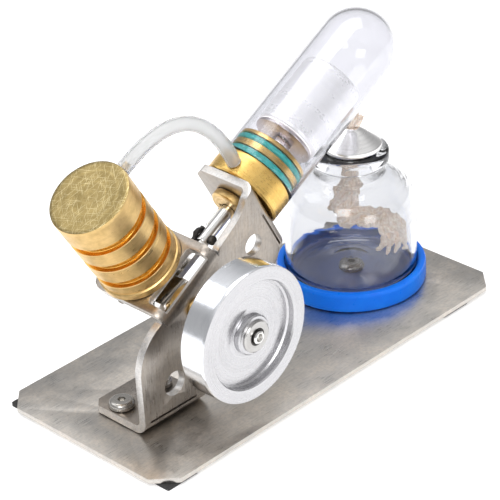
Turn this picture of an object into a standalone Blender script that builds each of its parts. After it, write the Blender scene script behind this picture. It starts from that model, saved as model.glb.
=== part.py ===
"""Hot-air (Stirling) engine model, gamma type, on a base plate with a spirit lamp.

The parts are laid out in millimetres in a layout frame: X along the base plate
from its left edge, Y from the plate's front edge to the back, Z up from the
plate's top face.  The object's own frame has its origin on the floor, under
the middle of the whole engine, and is reached with the ORIGIN offset.
"""
import math

import bmesh
import bpy
from mathutils import Euler, Matrix, Vector

MM = 0.001

# ---------------------------------------------------------------- dimensions
GAP = 0.25                      # clearance kept between separate touching pieces

BASE_LENGTH = 152.0             # stainless base plate
BASE_DEPTH = 70.0
BASE_THICKNESS = 1.5
BASE_CHAMFER = 6.7

PAD_SIZE = 12.0                 # self-adhesive rubber pads
PAD_THICKNESS = 1.3 + 0.0
PAD_INSET_LEFT = 2.4
PAD_INSET_RIGHT = 14.9
PAD_INSET_Y = 1.0

SHEET = 2.5                     # bent bracket
BRACKET_Y = 22.0                # front face of its upright plate
BEND_R = 4.5                    # outer bend radius
FOOT_LEFT, FOOT_RIGHT = 14.2, 39.5
FOOT_BACK = 45.0

CRANK_X, CRANK_Z = 36.8, 34.2   # main shaft centre
HOT_ANGLE = 28.5                # direction of the displacer cylinder
COLD_ANGLE = 121.0              # direction of the power cylinder
HOT_Y = 35.4                    # planes the two cylinders lie in
COLD_Y = 41.0
COLD_OFFSET = 2.3               # power cylinder's sideways offset from the shaft

HOT_FLANGE = 38.2               # outer face of each flange, from the shaft centre
COLD_FLANGE = 9.2

THROW = 4.2                     # crank radius
SHAFT_R = 2.0
SHAFT_FRONT = -4.2
WEB_FRONT, WEB_BACK = 27.2, 32.2
WEB_STEP, WEB_STEP_R = 29.7, 6.35
SHAFT_BACK = 29.0                # the shaft's end, in a blind bore of the crank web
PIN_R = 1.1
PIN_BACK = 43.2

FLYWHEEL_R = 21.0
FLYWHEEL_FRONT = -2.3
FLYWHEEL_BACK = 7.0
RECESS_R = 16.6

COLD_R = 12.65                  # power cylinder
COLD_BORE_R = 9.5
COLD_TOP = 43.7
COLD_BORE_END = 41.0
COLD_GROOVES = (33.7, 25.3, 16.8)
COLD_PORT = 39.3

HOUSING_R = 12.8                # displacer cylinder's brass housing and glass
HOUSING_TOP = 46.3
NECK_TOP = 55.3
HOT_PORT = 42.0
HOT_PORT_ANGLE = 186.0
GLASS_R = 12.8
GLASS_WALL = 1.0
GLASS_RIM = 46.55
GLASS_DOME = 99.5
RING_AT = (48.2, 52.6)

DISPLACER_R = 10.3
DISPLACER_BOTTOM = 61.9
DISPLACER_TOP = 86.5
ROD_R = 2.0
ROD_BOTTOM = 19.4

HOSE_R = 2.3
HOSE_BORE_R = 1.6
NIPPLE_R = 1.1

LAMP_X, LAMP_Y = 123.2, 38.4
HOLDER_R = 24.3
HOLDER_HEIGHT = 6.9
BOTTLE_R = 21.4

FLOOR = -(BASE_THICKNESS + PAD_THICKNESS)
ORIGIN = Vector((-BASE_LENGTH / 2, -(BASE_DEPTH + SHAFT_FRONT) / 2, -FLOOR))


# ------------------------------------------------------------------ materials
def material(name, colour, rough, metal, alpha=1.0, transmission=0.0):
    mat = bpy.data.materials.new(name)
    mat.use_nodes = True
    shader = mat.node_tree.nodes["Principled BSDF"]
    shader.inputs["Base Color"].default_value = (*colour, 1.0)
    shader.inputs["Roughness"].default_value = rough
    shader.inputs["Metallic"].default_value = metal
    shader.inputs["Alpha"].default_value = alpha
    shader.inputs["Transmission Weight"].default_value = transmission
    mat.diffuse_color = (*colour, alpha)
    return mat


for thing in list(bpy.data.objects):
    bpy.data.objects.remove(thing, do_unlink=True)

STEEL = material("stainless_steel", (0.60, 0.57, 0.53), 0.35, 1.0)
POLISHED = material("polished_steel", (0.72, 0.71, 0.69), 0.15, 1.0)
ALUMINIUM = material("aluminium", (0.80, 0.80, 0.80), 0.25, 1.0)
BRASS = material("brass", (0.72, 0.50, 0.20), 0.28, 1.0)
TEAL = material("teal_rubber", (0.03, 0.30, 0.30), 0.45, 0.0)
BLUE = material("blue_anodised", (0.02, 0.14, 0.62), 0.35, 0.6)
GLASS = material("glass", (0.95, 0.97, 0.97), 0.03, 0.0, 0.25, 0.95)
SILICONE = material("silicone_hose", (0.85, 0.86, 0.84), 0.35, 0.0, 0.55, 0.6)
COTTON = material("cotton", (0.80, 0.70, 0.52), 0.95, 0.0)
BLACK = material("black_rubber", (0.02, 0.02, 0.02), 0.75, 0.0)
DARK = material("blackened_steel", (0.05, 0.045, 0.04), 0.45, 0.8)


# -------------------------------------------------------------------- helpers
def empty(name, location, rotation=(0.0, 0.0, 0.0), parent=None):
    """A guide frame; `location` in mm of its parent (or of the layout frame)."""
    frame = bpy.data.objects.new(name, None)
    frame.empty_display_size = 0.01
    frame.hide_render = True
    bpy.context.scene.collection.objects.link(frame)
    frame.parent = parent
    frame.location = Vector(location) * MM
    frame.rotation_euler = Euler([math.radians(a) for a in rotation])
    return frame


def finish(name, mesh_bm, mat, parent, location=(0, 0, 0), rotation=(0, 0, 0), sharp=35.0):
    """Turn a bmesh in millimetres into a placed object."""
    bmesh.ops.remove_doubles(mesh_bm, verts=mesh_bm.verts, dist=1e-4)
    bmesh.ops.recalc_face_normals(mesh_bm, faces=mesh_bm.faces)
    bmesh.ops.scale(mesh_bm, vec=(MM, MM, MM), verts=mesh_bm.verts)
    mesh = bpy.data.meshes.new(name)
    mesh_bm.to_mesh(mesh)
    mesh_bm.free()
    mesh.shade_smooth()
    mesh.set_sharp_from_angle(angle=math.radians(sharp))
    mesh.materials.append(mat)
    obj = bpy.data.objects.new(name, mesh)
    bpy.context.scene.collection.objects.link(obj)
    obj.parent = parent
    obj.location = Vector(location) * MM
    obj.rotation_euler = Euler([math.radians(a) for a in rotation])
    return obj


def circle(radius, count, centre=(0.0, 0.0), start=0.0, stop=360.0, closed=True):
    """Points on an arc; a closed circle leaves out its repeated last point."""
    steps = count if closed else count - 1
    return [(centre[0] + radius * math.cos(math.radians(start + (stop - start) * i / steps)),
             centre[1] + radius * math.sin(math.radians(start + (stop - start) * i / steps)))
            for i in range(count)]


def prism_bm(outline, low, high, holes=()):
    """An outline with holes in XY, extruded from low to high along Z."""
    bm = bmesh.new()
    for loop in (outline, *holes):
        verts = [bm.verts.new((x, y, low)) for x, y in loop]
        for a, b in zip(verts, verts[1:] + verts[:1]):
            bm.edges.new((a, b))
    bmesh.ops.triangle_fill(bm, use_beauty=True, use_dissolve=False, edges=bm.edges)
    face_normal = sum((f.normal * f.calc_area() for f in bm.faces), Vector())
    if face_normal.z > 0:
        bmesh.ops.reverse_faces(bm, faces=bm.faces)
    grown = bmesh.ops.extrude_face_region(bm, geom=bm.faces[:])
    top = [g for g in grown["geom"] if isinstance(g, bmesh.types.BMVert)]
    bmesh.ops.translate(bm, vec=(0, 0, high - low), verts=top)
    return bm


def turned_bm(profile, sides=48, ring=False):
    """A body of revolution about Z from (radius, z) points.

    A ring's profile is a closed loop; any other profile starts and ends on
    the axis (radius 0)."""
    bm = bmesh.new()
    rows = []
    for radius, z in profile:
        if radius < 1e-6:
            rows.append([bm.verts.new((0, 0, z))])
        else:
            rows.append([bm.verts.new((radius * math.cos(2 * math.pi * i / sides),
                                       radius * math.sin(2 * math.pi * i / sides), z))
                         for i in range(sides)])
    pairs = list(zip(rows, rows[1:]))
    if ring:
        pairs.append((rows[-1], rows[0]))
    for a, b in pairs:
        for i in range(sides):
            j = (i + 1) % sides
            if len(a) == 1 and len(b) == 1:
                continue
            if len(a) == 1:
                bm.faces.new((a[0], b[j], b[i]))
            elif len(b) == 1:
                bm.faces.new((a[i], a[j], b[0]))
            else:
                bm.faces.new((a[i], a[j], b[j], b[i]))
    return bm


def cutter(name, mesh_bm, parent, location=(0, 0, 0), rotation=(0, 0, 0)):
    """A closed solid used only to cut others."""
    obj = finish(name, mesh_bm, STEEL, parent, location, rotation)
    obj.hide_render = True
    obj.display_type = "WIRE"
    return obj


def cut(target, tool):
    mod = target.modifiers.new("cut_" + tool.name, "BOOLEAN")
    mod.operation = "DIFFERENCE"
    mod.solver = "EXACT"
    mod.object = tool


def disc(radius, low, high, sides=24):
    return turned_bm([(0, high), (radius, high), (radius, low), (0, low)], sides)


def button_screw(name, parent, location, head_r, head_h, shank_r, length, socket_r, mat=POLISHED,
                 rotation=(0, 0, 0)):
    """Button-head screw with a hexagon socket; location is under the head."""
    rim = 0.35 * head_h
    profile = [(0, head_h)]
    for i in range(4):
        a = math.radians(90 * (1 - i / 3))
        profile.append((head_r * (0.62 + 0.38 * math.cos(a)), rim + (head_h - rim) * math.sin(a)))
    profile += [(head_r, 0), (shank_r, 0), (shank_r, -length), (0, -length)]
    screw = finish(name, turned_bm(profile, 16), mat, parent, location, rotation)
    socket = cutter(name + "_socket_tool",
                    prism_bm(circle(socket_r, 6), head_h - 1.1, head_h + 1.0), parent, location, rotation)
    cut(screw, socket)
    return screw


# ---------------------------------------------------------------- guide frames
layout = empty("layout", ORIGIN)
turn_y = (-90, 0, 0)                            # local Z lies along the layout's +Y
crank_axis = empty("crank_axis", (CRANK_X, 0, CRANK_Z), turn_y, layout)
hot_axis = empty("hot_axis", (CRANK_X, HOT_Y, CRANK_Z), (0, 90 - HOT_ANGLE, 0), layout)
cold_axis = empty("cold_axis", (CRANK_X, COLD_Y, CRANK_Z), (0, 90 - COLD_ANGLE, 0), layout)
lamp_axis = empty("lamp_axis", (LAMP_X, LAMP_Y, 0), (0, 0, 0), layout)


def direction(angle):
    return Vector((math.cos(math.radians(angle)), math.sin(math.radians(angle))))


# ------------------------------------------------------------ base and pads
FOOT_SCREWS = ((18.6, 36.8), (34.0, 36.8))
c = BASE_CHAMFER
outline = [(c, 0), (BASE_LENGTH - c, 0), (BASE_LENGTH, c), (BASE_LENGTH, BASE_DEPTH - c),
           (BASE_LENGTH - c, BASE_DEPTH), (c, BASE_DEPTH), (0, BASE_DEPTH - c), (0, c)]
taps = [circle(2.15, 16, p) for p in (*FOOT_SCREWS, (LAMP_X, LAMP_Y))]
finish("base_plate", prism_bm(outline, -BASE_THICKNESS, 0, taps), STEEL, layout)

pad_xs = (PAD_INSET_LEFT, BASE_LENGTH - PAD_INSET_RIGHT - PAD_SIZE)
pad_ys = (PAD_INSET_Y, BASE_DEPTH - PAD_INSET_Y - PAD_SIZE)
for index, (px, py) in enumerate([(x, y) for y in pad_ys for x in pad_xs], 1):
    square = [(0, 0), (PAD_SIZE, 0), (PAD_SIZE, PAD_SIZE), (0, PAD_SIZE)]
    finish("rubber_foot_%d" % index, prism_bm(square, FLOOR, -BASE_THICKNESS - 0.1), BLACK, layout,
           (px, py, 0))


# -------------------------------------------------------------------- bracket
# The sheet is drawn as its outer skin, plate, bends and flanges, and then
# given its thickness inwards.
class Skin:
    def __init__(self):
        self.bm = bmesh.new()
        self.cache = {}

    def vert(self, p):
        key = tuple(round(v, 4) for v in p)
        if key not in self.cache:
            self.cache[key] = self.bm.verts.new(p)
        return self.cache[key]

    def polygon(self, loops, facing):
        """A flat panel with holes, its normal turned to `facing`."""
        edges = []
        for loop in loops:
            verts = [self.vert(p) for p in loop]
            for a, b in zip(verts, verts[1:] + verts[:1]):
                edges.append(self.bm.edges.get((a, b)) or self.bm.edges.new((a, b)))
        result = bmesh.ops.triangle_fill(self.bm, use_beauty=True, use_dissolve=False,
                                         normal=facing, edges=edges)
        for face in (g for g in result["geom"] if isinstance(g, bmesh.types.BMFace)):
            face.normal_update()
            if face.normal.dot(Vector(facing)) < 0:
                face.normal_flip()

    def face(self, points, facing):
        new = self.bm.faces.new([self.vert(p) for p in points])
        new.normal_update()
        if new.normal.dot(Vector(facing)) < 0:
            new.normal_flip()


def arm_point(angle, height, side, y):
    """Point from the shaft centre: `height` along the arm, `side` across it."""
    a = math.radians(angle)
    return (CRANK_X + height * math.cos(a) + side * math.sin(a), y,
            CRANK_Z + height * math.sin(a) - side * math.cos(a))


def bend_row(face_height, turn):
    """(height, y) of the outer skin after turning by `turn` degrees in a bend."""
    t = math.radians(turn)
    return (face_height - BEND_R + BEND_R * math.sin(t), BRACKET_Y + BEND_R * (1 - math.cos(t)))


HOT_T = (-12.0, 14.0)            # flange 1 across the arm
COLD_T = (-10.3, 15.7)           # flange 2
WINDOW_T = (-7.8, 12.8)          # window through flange 2's bend
WINDOW_BACK = 30.0
WINDOW_TURN = 34.0               # where the window starts in the bend
COLD_BACK = 52.2
HOT_BACK = 46.2

skin = Skin()
hot_line = [arm_point(HOT_ANGLE, HOT_FLANGE - BEND_R, t, BRACKET_Y) for t in HOT_T]
cold_line = [arm_point(COLD_ANGLE, COLD_FLANGE - BEND_R, t, BRACKET_Y) for t in COLD_T]
foot_line = [(FOOT_LEFT, BRACKET_Y, BEND_R + GAP), (FOOT_RIGHT, BRACKET_Y, BEND_R + GAP)]


def plate_point(x, z):
    return (x, BRACKET_Y, z)


# the upright plate, counter-clockwise from the foot's right end
plate = [foot_line[1]]
# hollow right edge, from the foot up to the hot flange's right end
hollow = [(41.0, 9.0), (46.0, 16.0), (53.5, 23.0), (62.0, 28.5), (70.0, 33.0)]
plate += [plate_point(*p) for p in hollow]
plate += [arm_point(HOT_ANGLE, s, t, BRACKET_Y) for s, t in ((29.5, 16.5), (31.0, 16.4), (32.6, 15.6))]
plate += [hot_line[1], hot_line[0]]
# left edge of the hot arm down into the notch beside the cold flange
plate += [arm_point(HOT_ANGLE, s, t, BRACKET_Y)
          for s, t in ((30.5, -10.2), (27.0, -8.9), (21.0, -8.1), (17.6, -7.7), (16.2, -7.3), (15.95, -6.6))]
plate += [cold_line[1], cold_line[0]]
# shoulder under the cold flange: an arc into the upright left edge
plate += [plate_point(23.2, 35.1)]
plate += [plate_point(*p) for p in circle(16.0, 9, (29.9, 20.0), 114.0, 180.0, closed=False)]
plate += [foot_line[0]]

shaft_hole = [plate_point(*p) for p in circle(3.15, 24, (CRANK_X, CRANK_Z))]
lower_hole = [plate_point(*p) for p in circle(4.0, 28, (26.9, 12.8))]
upper_hole = [plate_point(*p) for p in circle(3.5, 28, (62.2, 44.0))]
skin.polygon([plate, shaft_hole, lower_hole, upper_hole], (0, -1, 0))

# foot: bend down and back, then the flat foot with two screw holes
foot_rows = []
for turn in (0, 22.5, 45, 67.5, 90):
    t = math.radians(turn)
    foot_rows.append((BRACKET_Y + BEND_R * (1 - math.cos(t)), GAP + BEND_R * (1 - math.sin(t))))
for (y0, z0), (y1, z1) in zip(foot_rows, foot_rows[1:]):
    skin.face([(FOOT_LEFT, y0, z0), (FOOT_RIGHT, y0, z0), (FOOT_RIGHT, y1, z1), (FOOT_LEFT, y1, z1)],
              (0, -1, -1))
y_end, z_end = foot_rows[-1]
foot = [(FOOT_LEFT, y_end, z_end), (FOOT_RIGHT, y_end, z_end), (FOOT_RIGHT, FOOT_BACK, z_end),
        (FOOT_LEFT + 2.6, FOOT_BACK, z_end), (FOOT_LEFT, FOOT_BACK - 2.6, z_end)]
skin.polygon([foot] + [[(x, y, z_end) for x, y in circle(2.25, 20, p)] for p in FOOT_SCREWS], (0, 0, -1))

# hot flange
n_hot = arm_point(HOT_ANGLE, 1, 0, 0)
hot_up = (n_hot[0] - CRANK_X, 0, n_hot[2] - CRANK_Z)
rows = [bend_row(HOT_FLANGE, turn) for turn in (0, 22.5, 45, 67.5, 90)]
for (h0, y0), (h1, y1) in zip(rows, rows[1:]):
    skin.face([arm_point(HOT_ANGLE, h0, HOT_T[0], y0), arm_point(HOT_ANGLE, h0, HOT_T[1], y0),
               arm_point(HOT_ANGLE, h1, HOT_T[1], y1), arm_point(HOT_ANGLE, h1, HOT_T[0], y1)],
              (hot_up[0], -1, hot_up[2]))
h_end, y_end = rows[-1]
corner = [(HOT_T[0], HOT_BACK - 3.0), (HOT_T[0] + 3.0, HOT_BACK), (HOT_T[1] - 3.0, HOT_BACK),
          (HOT_T[1], HOT_BACK - 3.0)]
hot_panel = [(HOT_T[1], y_end), (HOT_T[0], y_end)] + corner
gland_hole = circle(4.9, 20, (0, HOT_Y))
skin.polygon([[arm_point(HOT_ANGLE, h_end, t, y) for t, y in loop] for loop in (hot_panel, gland_hole)],
             hot_up)

# cold flange: the bend is whole up to the window and split into two rails after it
n_cold = arm_point(COLD_ANGLE, 1, 0, 0)
cold_up = (n_cold[0] - CRANK_X, 0, n_cold[2] - CRANK_Z)


def cold(t, row):
    return arm_point(COLD_ANGLE, row[0], t, row[1])


turns = (0, WINDOW_TURN / 2, WINDOW_TURN, 52.5, 71.0, 90)
rows = [bend_row(COLD_FLANGE, turn) for turn in turns]
outward = (cold_up[0], -1, cold_up[2])
skin.face([cold(COLD_T[0], rows[0]), cold(COLD_T[1], rows[0]), cold(COLD_T[1], rows[1]),
           cold(COLD_T[0], rows[1])], outward)
skin.face([cold(COLD_T[0], rows[1]), cold(COLD_T[1], rows[1]), cold(COLD_T[1], rows[2]),
           cold(WINDOW_T[1], rows[2]), cold(WINDOW_T[0], rows[2]), cold(COLD_T[0], rows[2])], outward)
for low, high in zip(rows[2:], rows[3:]):
    for t0, t1 in ((COLD_T[0], WINDOW_T[0]), (WINDOW_T[1], COLD_T[1])):
        skin.face([cold(t0, low), cold(t1, low), cold(t1, high), cold(t0, high)], outward)
h_end, y_end = rows[-1]
cold_panel = [(COLD_T[0], y_end), (WINDOW_T[0], y_end), (WINDOW_T[0], WINDOW_BACK - 1.5),
              (WINDOW_T[0] + 0.45, WINDOW_BACK - 0.45), (WINDOW_T[0] + 1.5, WINDOW_BACK),
              (WINDOW_T[1] - 1.5, WINDOW_BACK), (WINDOW_T[1] - 0.45, WINDOW_BACK - 0.45),
              (WINDOW_T[1], WINDOW_BACK - 1.5), (WINDOW_T[1], y_end), (COLD_T[1], y_end),
              (COLD_T[1], COLD_BACK - 5.5), (COLD_T[1] - 1.6, COLD_BACK - 1.6), (COLD_T[1] - 5.5, COLD_BACK),
              (COLD_T[0] + 5.5, COLD_BACK), (COLD_T[0] + 1.6, COLD_BACK - 1.6), (COLD_T[0], COLD_BACK - 5.5)]
# the opening under the bore: a rectangle with cut corners
ox0, ox1, oy0, oy1, oc = COLD_OFFSET - 8.6, COLD_OFFSET + 8.6, 31.8, 50.2, 2.6
opening = [(ox0 + oc, oy0), (ox1 - oc, oy0), (ox1, oy0 + oc), (ox1, oy1 - oc), (ox1 - oc, oy1),
           (ox0 + oc, oy1), (ox0, oy1 - oc), (ox0, oy0 + oc)]
COLD_SCREWS = (COLD_OFFSET - 11.0, COLD_OFFSET + 11.0)
screw_holes = [circle(1.2, 12, (t, COLD_Y)) for t in COLD_SCREWS]
skin.polygon([[arm_point(COLD_ANGLE, h_end, t, y) for t, y in loop]
              for loop in (cold_panel, opening, *screw_holes)], cold_up)

bracket_mesh = bpy.data.meshes.new("bracket")
bmesh.ops.scale(skin.bm, vec=(MM, MM, MM), verts=skin.bm.verts)
skin.bm.to_mesh(bracket_mesh)
skin.bm.free()
bracket_mesh.materials.append(STEEL)
bracket = bpy.data.objects.new("bracket", bracket_mesh)
bpy.context.scene.collection.objects.link(bracket)
bracket.parent = layout
thicken = bracket.modifiers.new("sheet_thickness", "SOLIDIFY")
thicken.thickness = SHEET * MM
thicken.offset = -1.0
thicken.use_even_offset = True

# narrow slot cut along the foot's bend
slot = cutter("foot_slot_tool", prism_bm([(16.4, 3.9), (35.5, 3.9), (35.5, 4.7), (16.4, 4.7)], -25, 4),
              layout, (0, 0, 0), (90, 0, 0))
cut(bracket, slot)
# narrow slot along the hot flange's bend
hot_slot = cutter("hot_slot_tool", prism_bm([(-1.5, -20), (13.0, -20), (13.0, -9.5), (-1.5, -9.5)],
                                            34.4, 35.2), hot_axis)
cut(bracket, hot_slot)

for index, point in enumerate(FOOT_SCREWS, 1):
    button_screw("bracket_screw_%d" % index, layout, (*point, SHEET + 2 * GAP), 4.0, 2.2, 1.9, 4.2, 1.3)

# ------------------------------------------------- shaft, bearing and flywheel
bearing = [(2.2, BRACKET_Y - 0.8), (2.9, BRACKET_Y - 0.8), (2.9, BRACKET_Y + SHEET + GAP),
           (5.6, BRACKET_Y + SHEET + GAP), (5.6, WEB_FRONT - GAP), (2.2, WEB_FRONT - GAP)]
finish("main_bearing", turned_bm(bearing, 24, ring=True), BRASS, crank_axis)

finish("crankshaft", turned_bm([(0, SHAFT_FRONT), (SHAFT_R - 0.3, SHAFT_FRONT), (SHAFT_R, SHAFT_FRONT + 0.3),
                                (SHAFT_R, SHAFT_BACK), (0, SHAFT_BACK)], 24), POLISHED, crank_axis)

f, b = FLYWHEEL_FRONT, FLYWHEEL_BACK
wheel = [(2.2, f - 0.9), (2.6, f - 0.9), (5.0, f - 0.7), (5.0, f + 0.1), (6.2, f + 0.3), (6.2, f + 2.6),
         (RECESS_R, f + 2.6), (RECESS_R, f + 0.3), (RECESS_R + 0.3, f), (FLYWHEEL_R - 0.5, f),
         (FLYWHEEL_R, f + 0.5), (FLYWHEEL_R, b - 0.5), (FLYWHEEL_R - 0.5, b), (RECESS_R, b),
         (RECESS_R, b - 2.6), (6.0, b - 2.6), (6.0, b + 6.8), (2.2, b + 6.8)]
flywheel = finish("flywheel", turned_bm(wheel, 44, ring=True), ALUMINIUM, crank_axis)
grub_y = b + 3.6
cut(flywheel, cutter("grub_hole_tool", disc(1.3, -8.0, -1.2, 14), crank_axis, (0, 0, grub_y), (90, 0, 0)))
finish("flywheel_grub_screw", disc(1.05, -5.8, -2.35, 14), DARK, crank_axis, (0, 0, grub_y), (90, 0, 0))

# ------------------------------------------------------------------ crank web
REST = HOT_ANGLE + 180.0         # crank angle as modelled: displacer at its lowest
web_axis = empty("web_axis", (CRANK_X, 0, CRANK_Z), (-90, 0, 0), layout)


def shaft_plane(angle, along, across=0.0):
    """Crank-frame XY of a point `along` a direction in the layout's XZ plane."""
    d = direction(angle)
    x = along * d.x - across * d.y
    z = along * d.y + across * d.x
    return (x, -z)


def bar(angle, back, front, half_width):
    """A bar with square tail and round nose along `angle`, through the origin."""
    nose = [(front - half_width + half_width * math.cos(math.radians(a)),
             half_width * math.sin(math.radians(a))) for a in range(-90, 91, 20)]
    return [shaft_plane(angle, *p) for p in [(-back, half_width), (-back, -half_width)] + nose]


pin = shaft_plane(REST, THROW)
web = finish("crank_web", prism_bm(bar(REST, 5.2, 8.0, 4.0), WEB_FRONT, WEB_BACK,
                                   [circle(PIN_R + 0.12, 16, pin)]), POLISHED, web_axis)
cut(web, cutter("shaft_bore_tool", disc(SHAFT_R + 0.15, WEB_FRONT - 1, SHAFT_BACK + 0.2, 24), web_axis))
# The nose is stepped back where it passes the strip behind the window.
step = [(WEB_STEP_R, WEB_BACK + 1), (12, WEB_BACK + 1), (12, WEB_STEP), (WEB_STEP_R, WEB_STEP)]
cut(web, cutter("web_step_tool", turned_bm(step, 40, ring=True), web_axis))
finish("crank_pin", disc(PIN_R, WEB_FRONT + 0.4, PIN_BACK, 16), POLISHED, web_axis, (*pin, 0))

# A dowel half way out to the crank pin.  It turns backwards at twice the
# crank's speed, so a point half a throw away from it runs in a straight line:
# that is what holds each piston to its own cylinder's axis.
dowel = shaft_plane(REST, THROW / 2)
cut(web, cutter("dowel_bore_tool", disc(0.62, SHAFT_BACK + 0.5, WEB_BACK + 1, 14), web_axis, (*dowel, 0)))
finish("straight_line_dowel", disc(0.5, SHAFT_BACK + 0.65, WEB_BACK - 0.05, 14), POLISHED, web_axis,
       (*dowel, 0))


# ---------------------------------------------------------------- power side
def grooved(radius, low, high, grooves, width, depth):
    """Outer profile from the top down, with round-cornered grooves."""
    points = [(radius - 0.5, high), (radius, high - 0.5)]
    for g in grooves:
        points += [(radius, g + width / 2), (radius - depth, g + width / 2 - 0.3),
                   (radius - depth, g - width / 2 + 0.3), (radius, g - width / 2)]
    return points + [(radius, low + 2.4), (radius + 0.5, low + 2.0), (radius + 0.5, low)]


barrel = [(0, COLD_TOP)] + grooved(COLD_R, COLD_FLANGE + GAP, COLD_TOP, COLD_GROOVES, 3.0, 1.4)
barrel += [(COLD_BORE_R, COLD_FLANGE + GAP), (COLD_BORE_R, COLD_BORE_END), (0, COLD_BORE_END)]
cylinder = finish("power_cylinder", turned_bm(barrel, 32), BRASS, cold_axis, (COLD_OFFSET, 0, 0))
cut(cylinder, cutter("cold_port_tool", disc(NIPPLE_R + 0.25, 8.5, 15, 14), cold_axis,
                     (COLD_OFFSET, 0, COLD_PORT), (0, 90, 0)))
nipple = [(0.6, 10.0), (NIPPLE_R, 10.0), (NIPPLE_R, 15.2), (NIPPLE_R - 0.2, 15.6), (0.6, 15.6)]
finish("power_port_nipple", turned_bm(nipple, 14, ring=True), BRASS, cold_axis,
       (COLD_OFFSET, 0, COLD_PORT), (0, 90, 0))
for index, t in enumerate(COLD_SCREWS, 1):
    cut(cylinder, cutter("cold_tap_tool_%d" % index, disc(1.1, COLD_FLANGE - 1, COLD_FLANGE + 3.8, 12),
                         cold_axis, (t, 0, 0)))
    button_screw("cylinder_screw_%d" % index, cold_axis, (t, 0, COLD_FLANGE - SHEET - GAP), 1.8, 1.2,
                 0.9, 5.6, 0.55, rotation=(180, 0, 0))

piston = [(0, 31.7), (8.9, 31.7), (9.25, 31.3), (9.25, 18.7), (7.9, 18.7), (7.9, 28.7), (0, 28.7)]
finish("power_piston", turned_bm(piston, 24), ALUMINIUM, cold_axis, (COLD_OFFSET, 0, 0))

# The power connecting rod: its lower eye on the crank pin, its upper eye in
# the piston.  It stays parallel to the cylinder while the crank carries it.
turn = math.radians(REST - COLD_ANGLE)
eye = (-THROW * math.sin(turn), THROW * math.cos(turn))          # (across, along)
small = (eye[0] + COLD_OFFSET, 21.5)
lean = math.degrees(math.atan2(small[1] - eye[1], small[0] - eye[0]))


def rod_outline(low, high, low_r, high_r, waist):
    """Outline of a flat rod with an eye at each end."""
    a0 = math.degrees(math.asin(waist / low_r))
    a1 = math.degrees(math.asin(waist / high_r))
    angle = math.degrees(math.atan2(high[1] - low[1], high[0] - low[0]))
    points = circle(low_r, 15, low, angle + a0, angle + 360 - a0, closed=False)
    points += circle(high_r, 13, high, angle - 180 + a1, angle + 180 - a1, closed=False)
    return points


# prisms below grow along local Z, so the flat rods stand on a frame turned
# to grow along +Y: its XY is (across, -along)
def flat(points):
    return [(x, -z) for x, z in points]


finish("power_rod", prism_bm(flat(rod_outline(eye, small, 2.4, 2.1, 1.1)), -1.2, 1.2,
                             [flat(circle(PIN_R + 0.15, 14, eye)), flat(circle(0.95, 12, small))]),
       POLISHED, cold_axis, (0, 0, 0), turn_y)
finish("power_wrist_pin", disc(0.8, -3.2, 3.2, 12), POLISHED, cold_axis, (small[0], 0, small[1]), turn_y)

# ------------------------------------------------------------- displacer side
housing = [(2.9, NECK_TOP), (11.1, NECK_TOP), (11.5, NECK_TOP - 0.4)]
for centre in reversed(RING_AT):
    housing += [(11.5, centre + 1.2), (9.8, centre + 1.2), (9.8, centre - 1.2), (11.5, centre - 1.2)]
housing += [(11.5, HOUSING_TOP), (HOUSING_R - 0.4, HOUSING_TOP), (HOUSING_R, HOUSING_TOP - 0.4),
            (HOUSING_R, HOT_FLANGE + GAP + 0.4), (HOUSING_R - 0.4, HOT_FLANGE + GAP),
            (4.9, HOT_FLANGE + GAP), (4.9, 43.6), (2.9, 43.6)]
body = finish("displacer_housing", turned_bm(housing, 32, ring=True), BRASS, hot_axis)
port = cutter("hot_port_tool", disc(NIPPLE_R + 0.25, 4.0, 15, 14), hot_axis, (0, 0, HOT_PORT),
              (0, 90, HOT_PORT_ANGLE))
cut(body, port)
finish("displacer_port_nipple", turned_bm(nipple, 14, ring=True), BRASS, hot_axis, (0, 0, HOT_PORT),
       (0, 90, HOT_PORT_ANGLE))

for name, centre in zip(("o_ring_lower", "o_ring_upper"), RING_AT):
    tube = [(10.75 + 0.85 * math.cos(math.radians(a)), centre + 0.85 * math.sin(math.radians(a)))
            for a in range(360, 0, -60)]
    finish(name, turned_bm(tube, 28, ring=True), TEAL, hot_axis, sharp=80)

rim = GLASS_R - GLASS_WALL
tube = [(0, GLASS_DOME + GLASS_R)]
tube += [(GLASS_R * math.sin(math.radians(a)), GLASS_DOME + GLASS_R * math.cos(math.radians(a)))
         for a in range(15, 91, 15)]
tube += [(GLASS_R, GLASS_RIM), (rim, GLASS_RIM)]
tube += [(rim * math.sin(math.radians(a)), GLASS_DOME + rim * math.cos(math.radians(a)))
         for a in range(90, 14, -15)]
finish("glass_hot_cap", turned_bm(tube + [(0, GLASS_DOME + rim)], 32), GLASS, hot_axis)

gland = finish("displacer_gland",
               turned_bm([(0, 40.2), (4.6, 40.2), (4.6, HOT_FLANGE - SHEET - GAP),
                          (6.6, HOT_FLANGE - SHEET - GAP), (6.6, 33.4), (6.2, 33.0), (0, 33.0)], 24),
               BRASS, hot_axis)
slot_half = 0.85
start = math.degrees(math.asin(slot_half / 2.35))
keyhole = circle(2.35, 21, (0, 0), 90 + start, 450 - start, closed=False)
keyhole += [(slot_half, 3.8), (-slot_half, 3.8)]
cut(gland, cutter("gland_bore_tool", prism_bm(keyhole, 32, 42), hot_axis))

rod = finish("displacer_rod", disc(ROD_R, ROD_BOTTOM, 66.0, 24), POLISHED, hot_axis)
cut(rod, cutter("cross_pin_bore_tool", disc(0.92, -4, 4, 12), hot_axis, (0, 0, 21.5), turn_y))
finish("cross_pin", turned_bm([(0, 2.2), (0.8, 2.2), (0.8, -2.25), (1.5, -2.25), (1.5, -3.1),
                               (1.1, -3.5), (0, -3.5)], 14), DARK, hot_axis, (0, 0, 21.5), turn_y)

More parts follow.
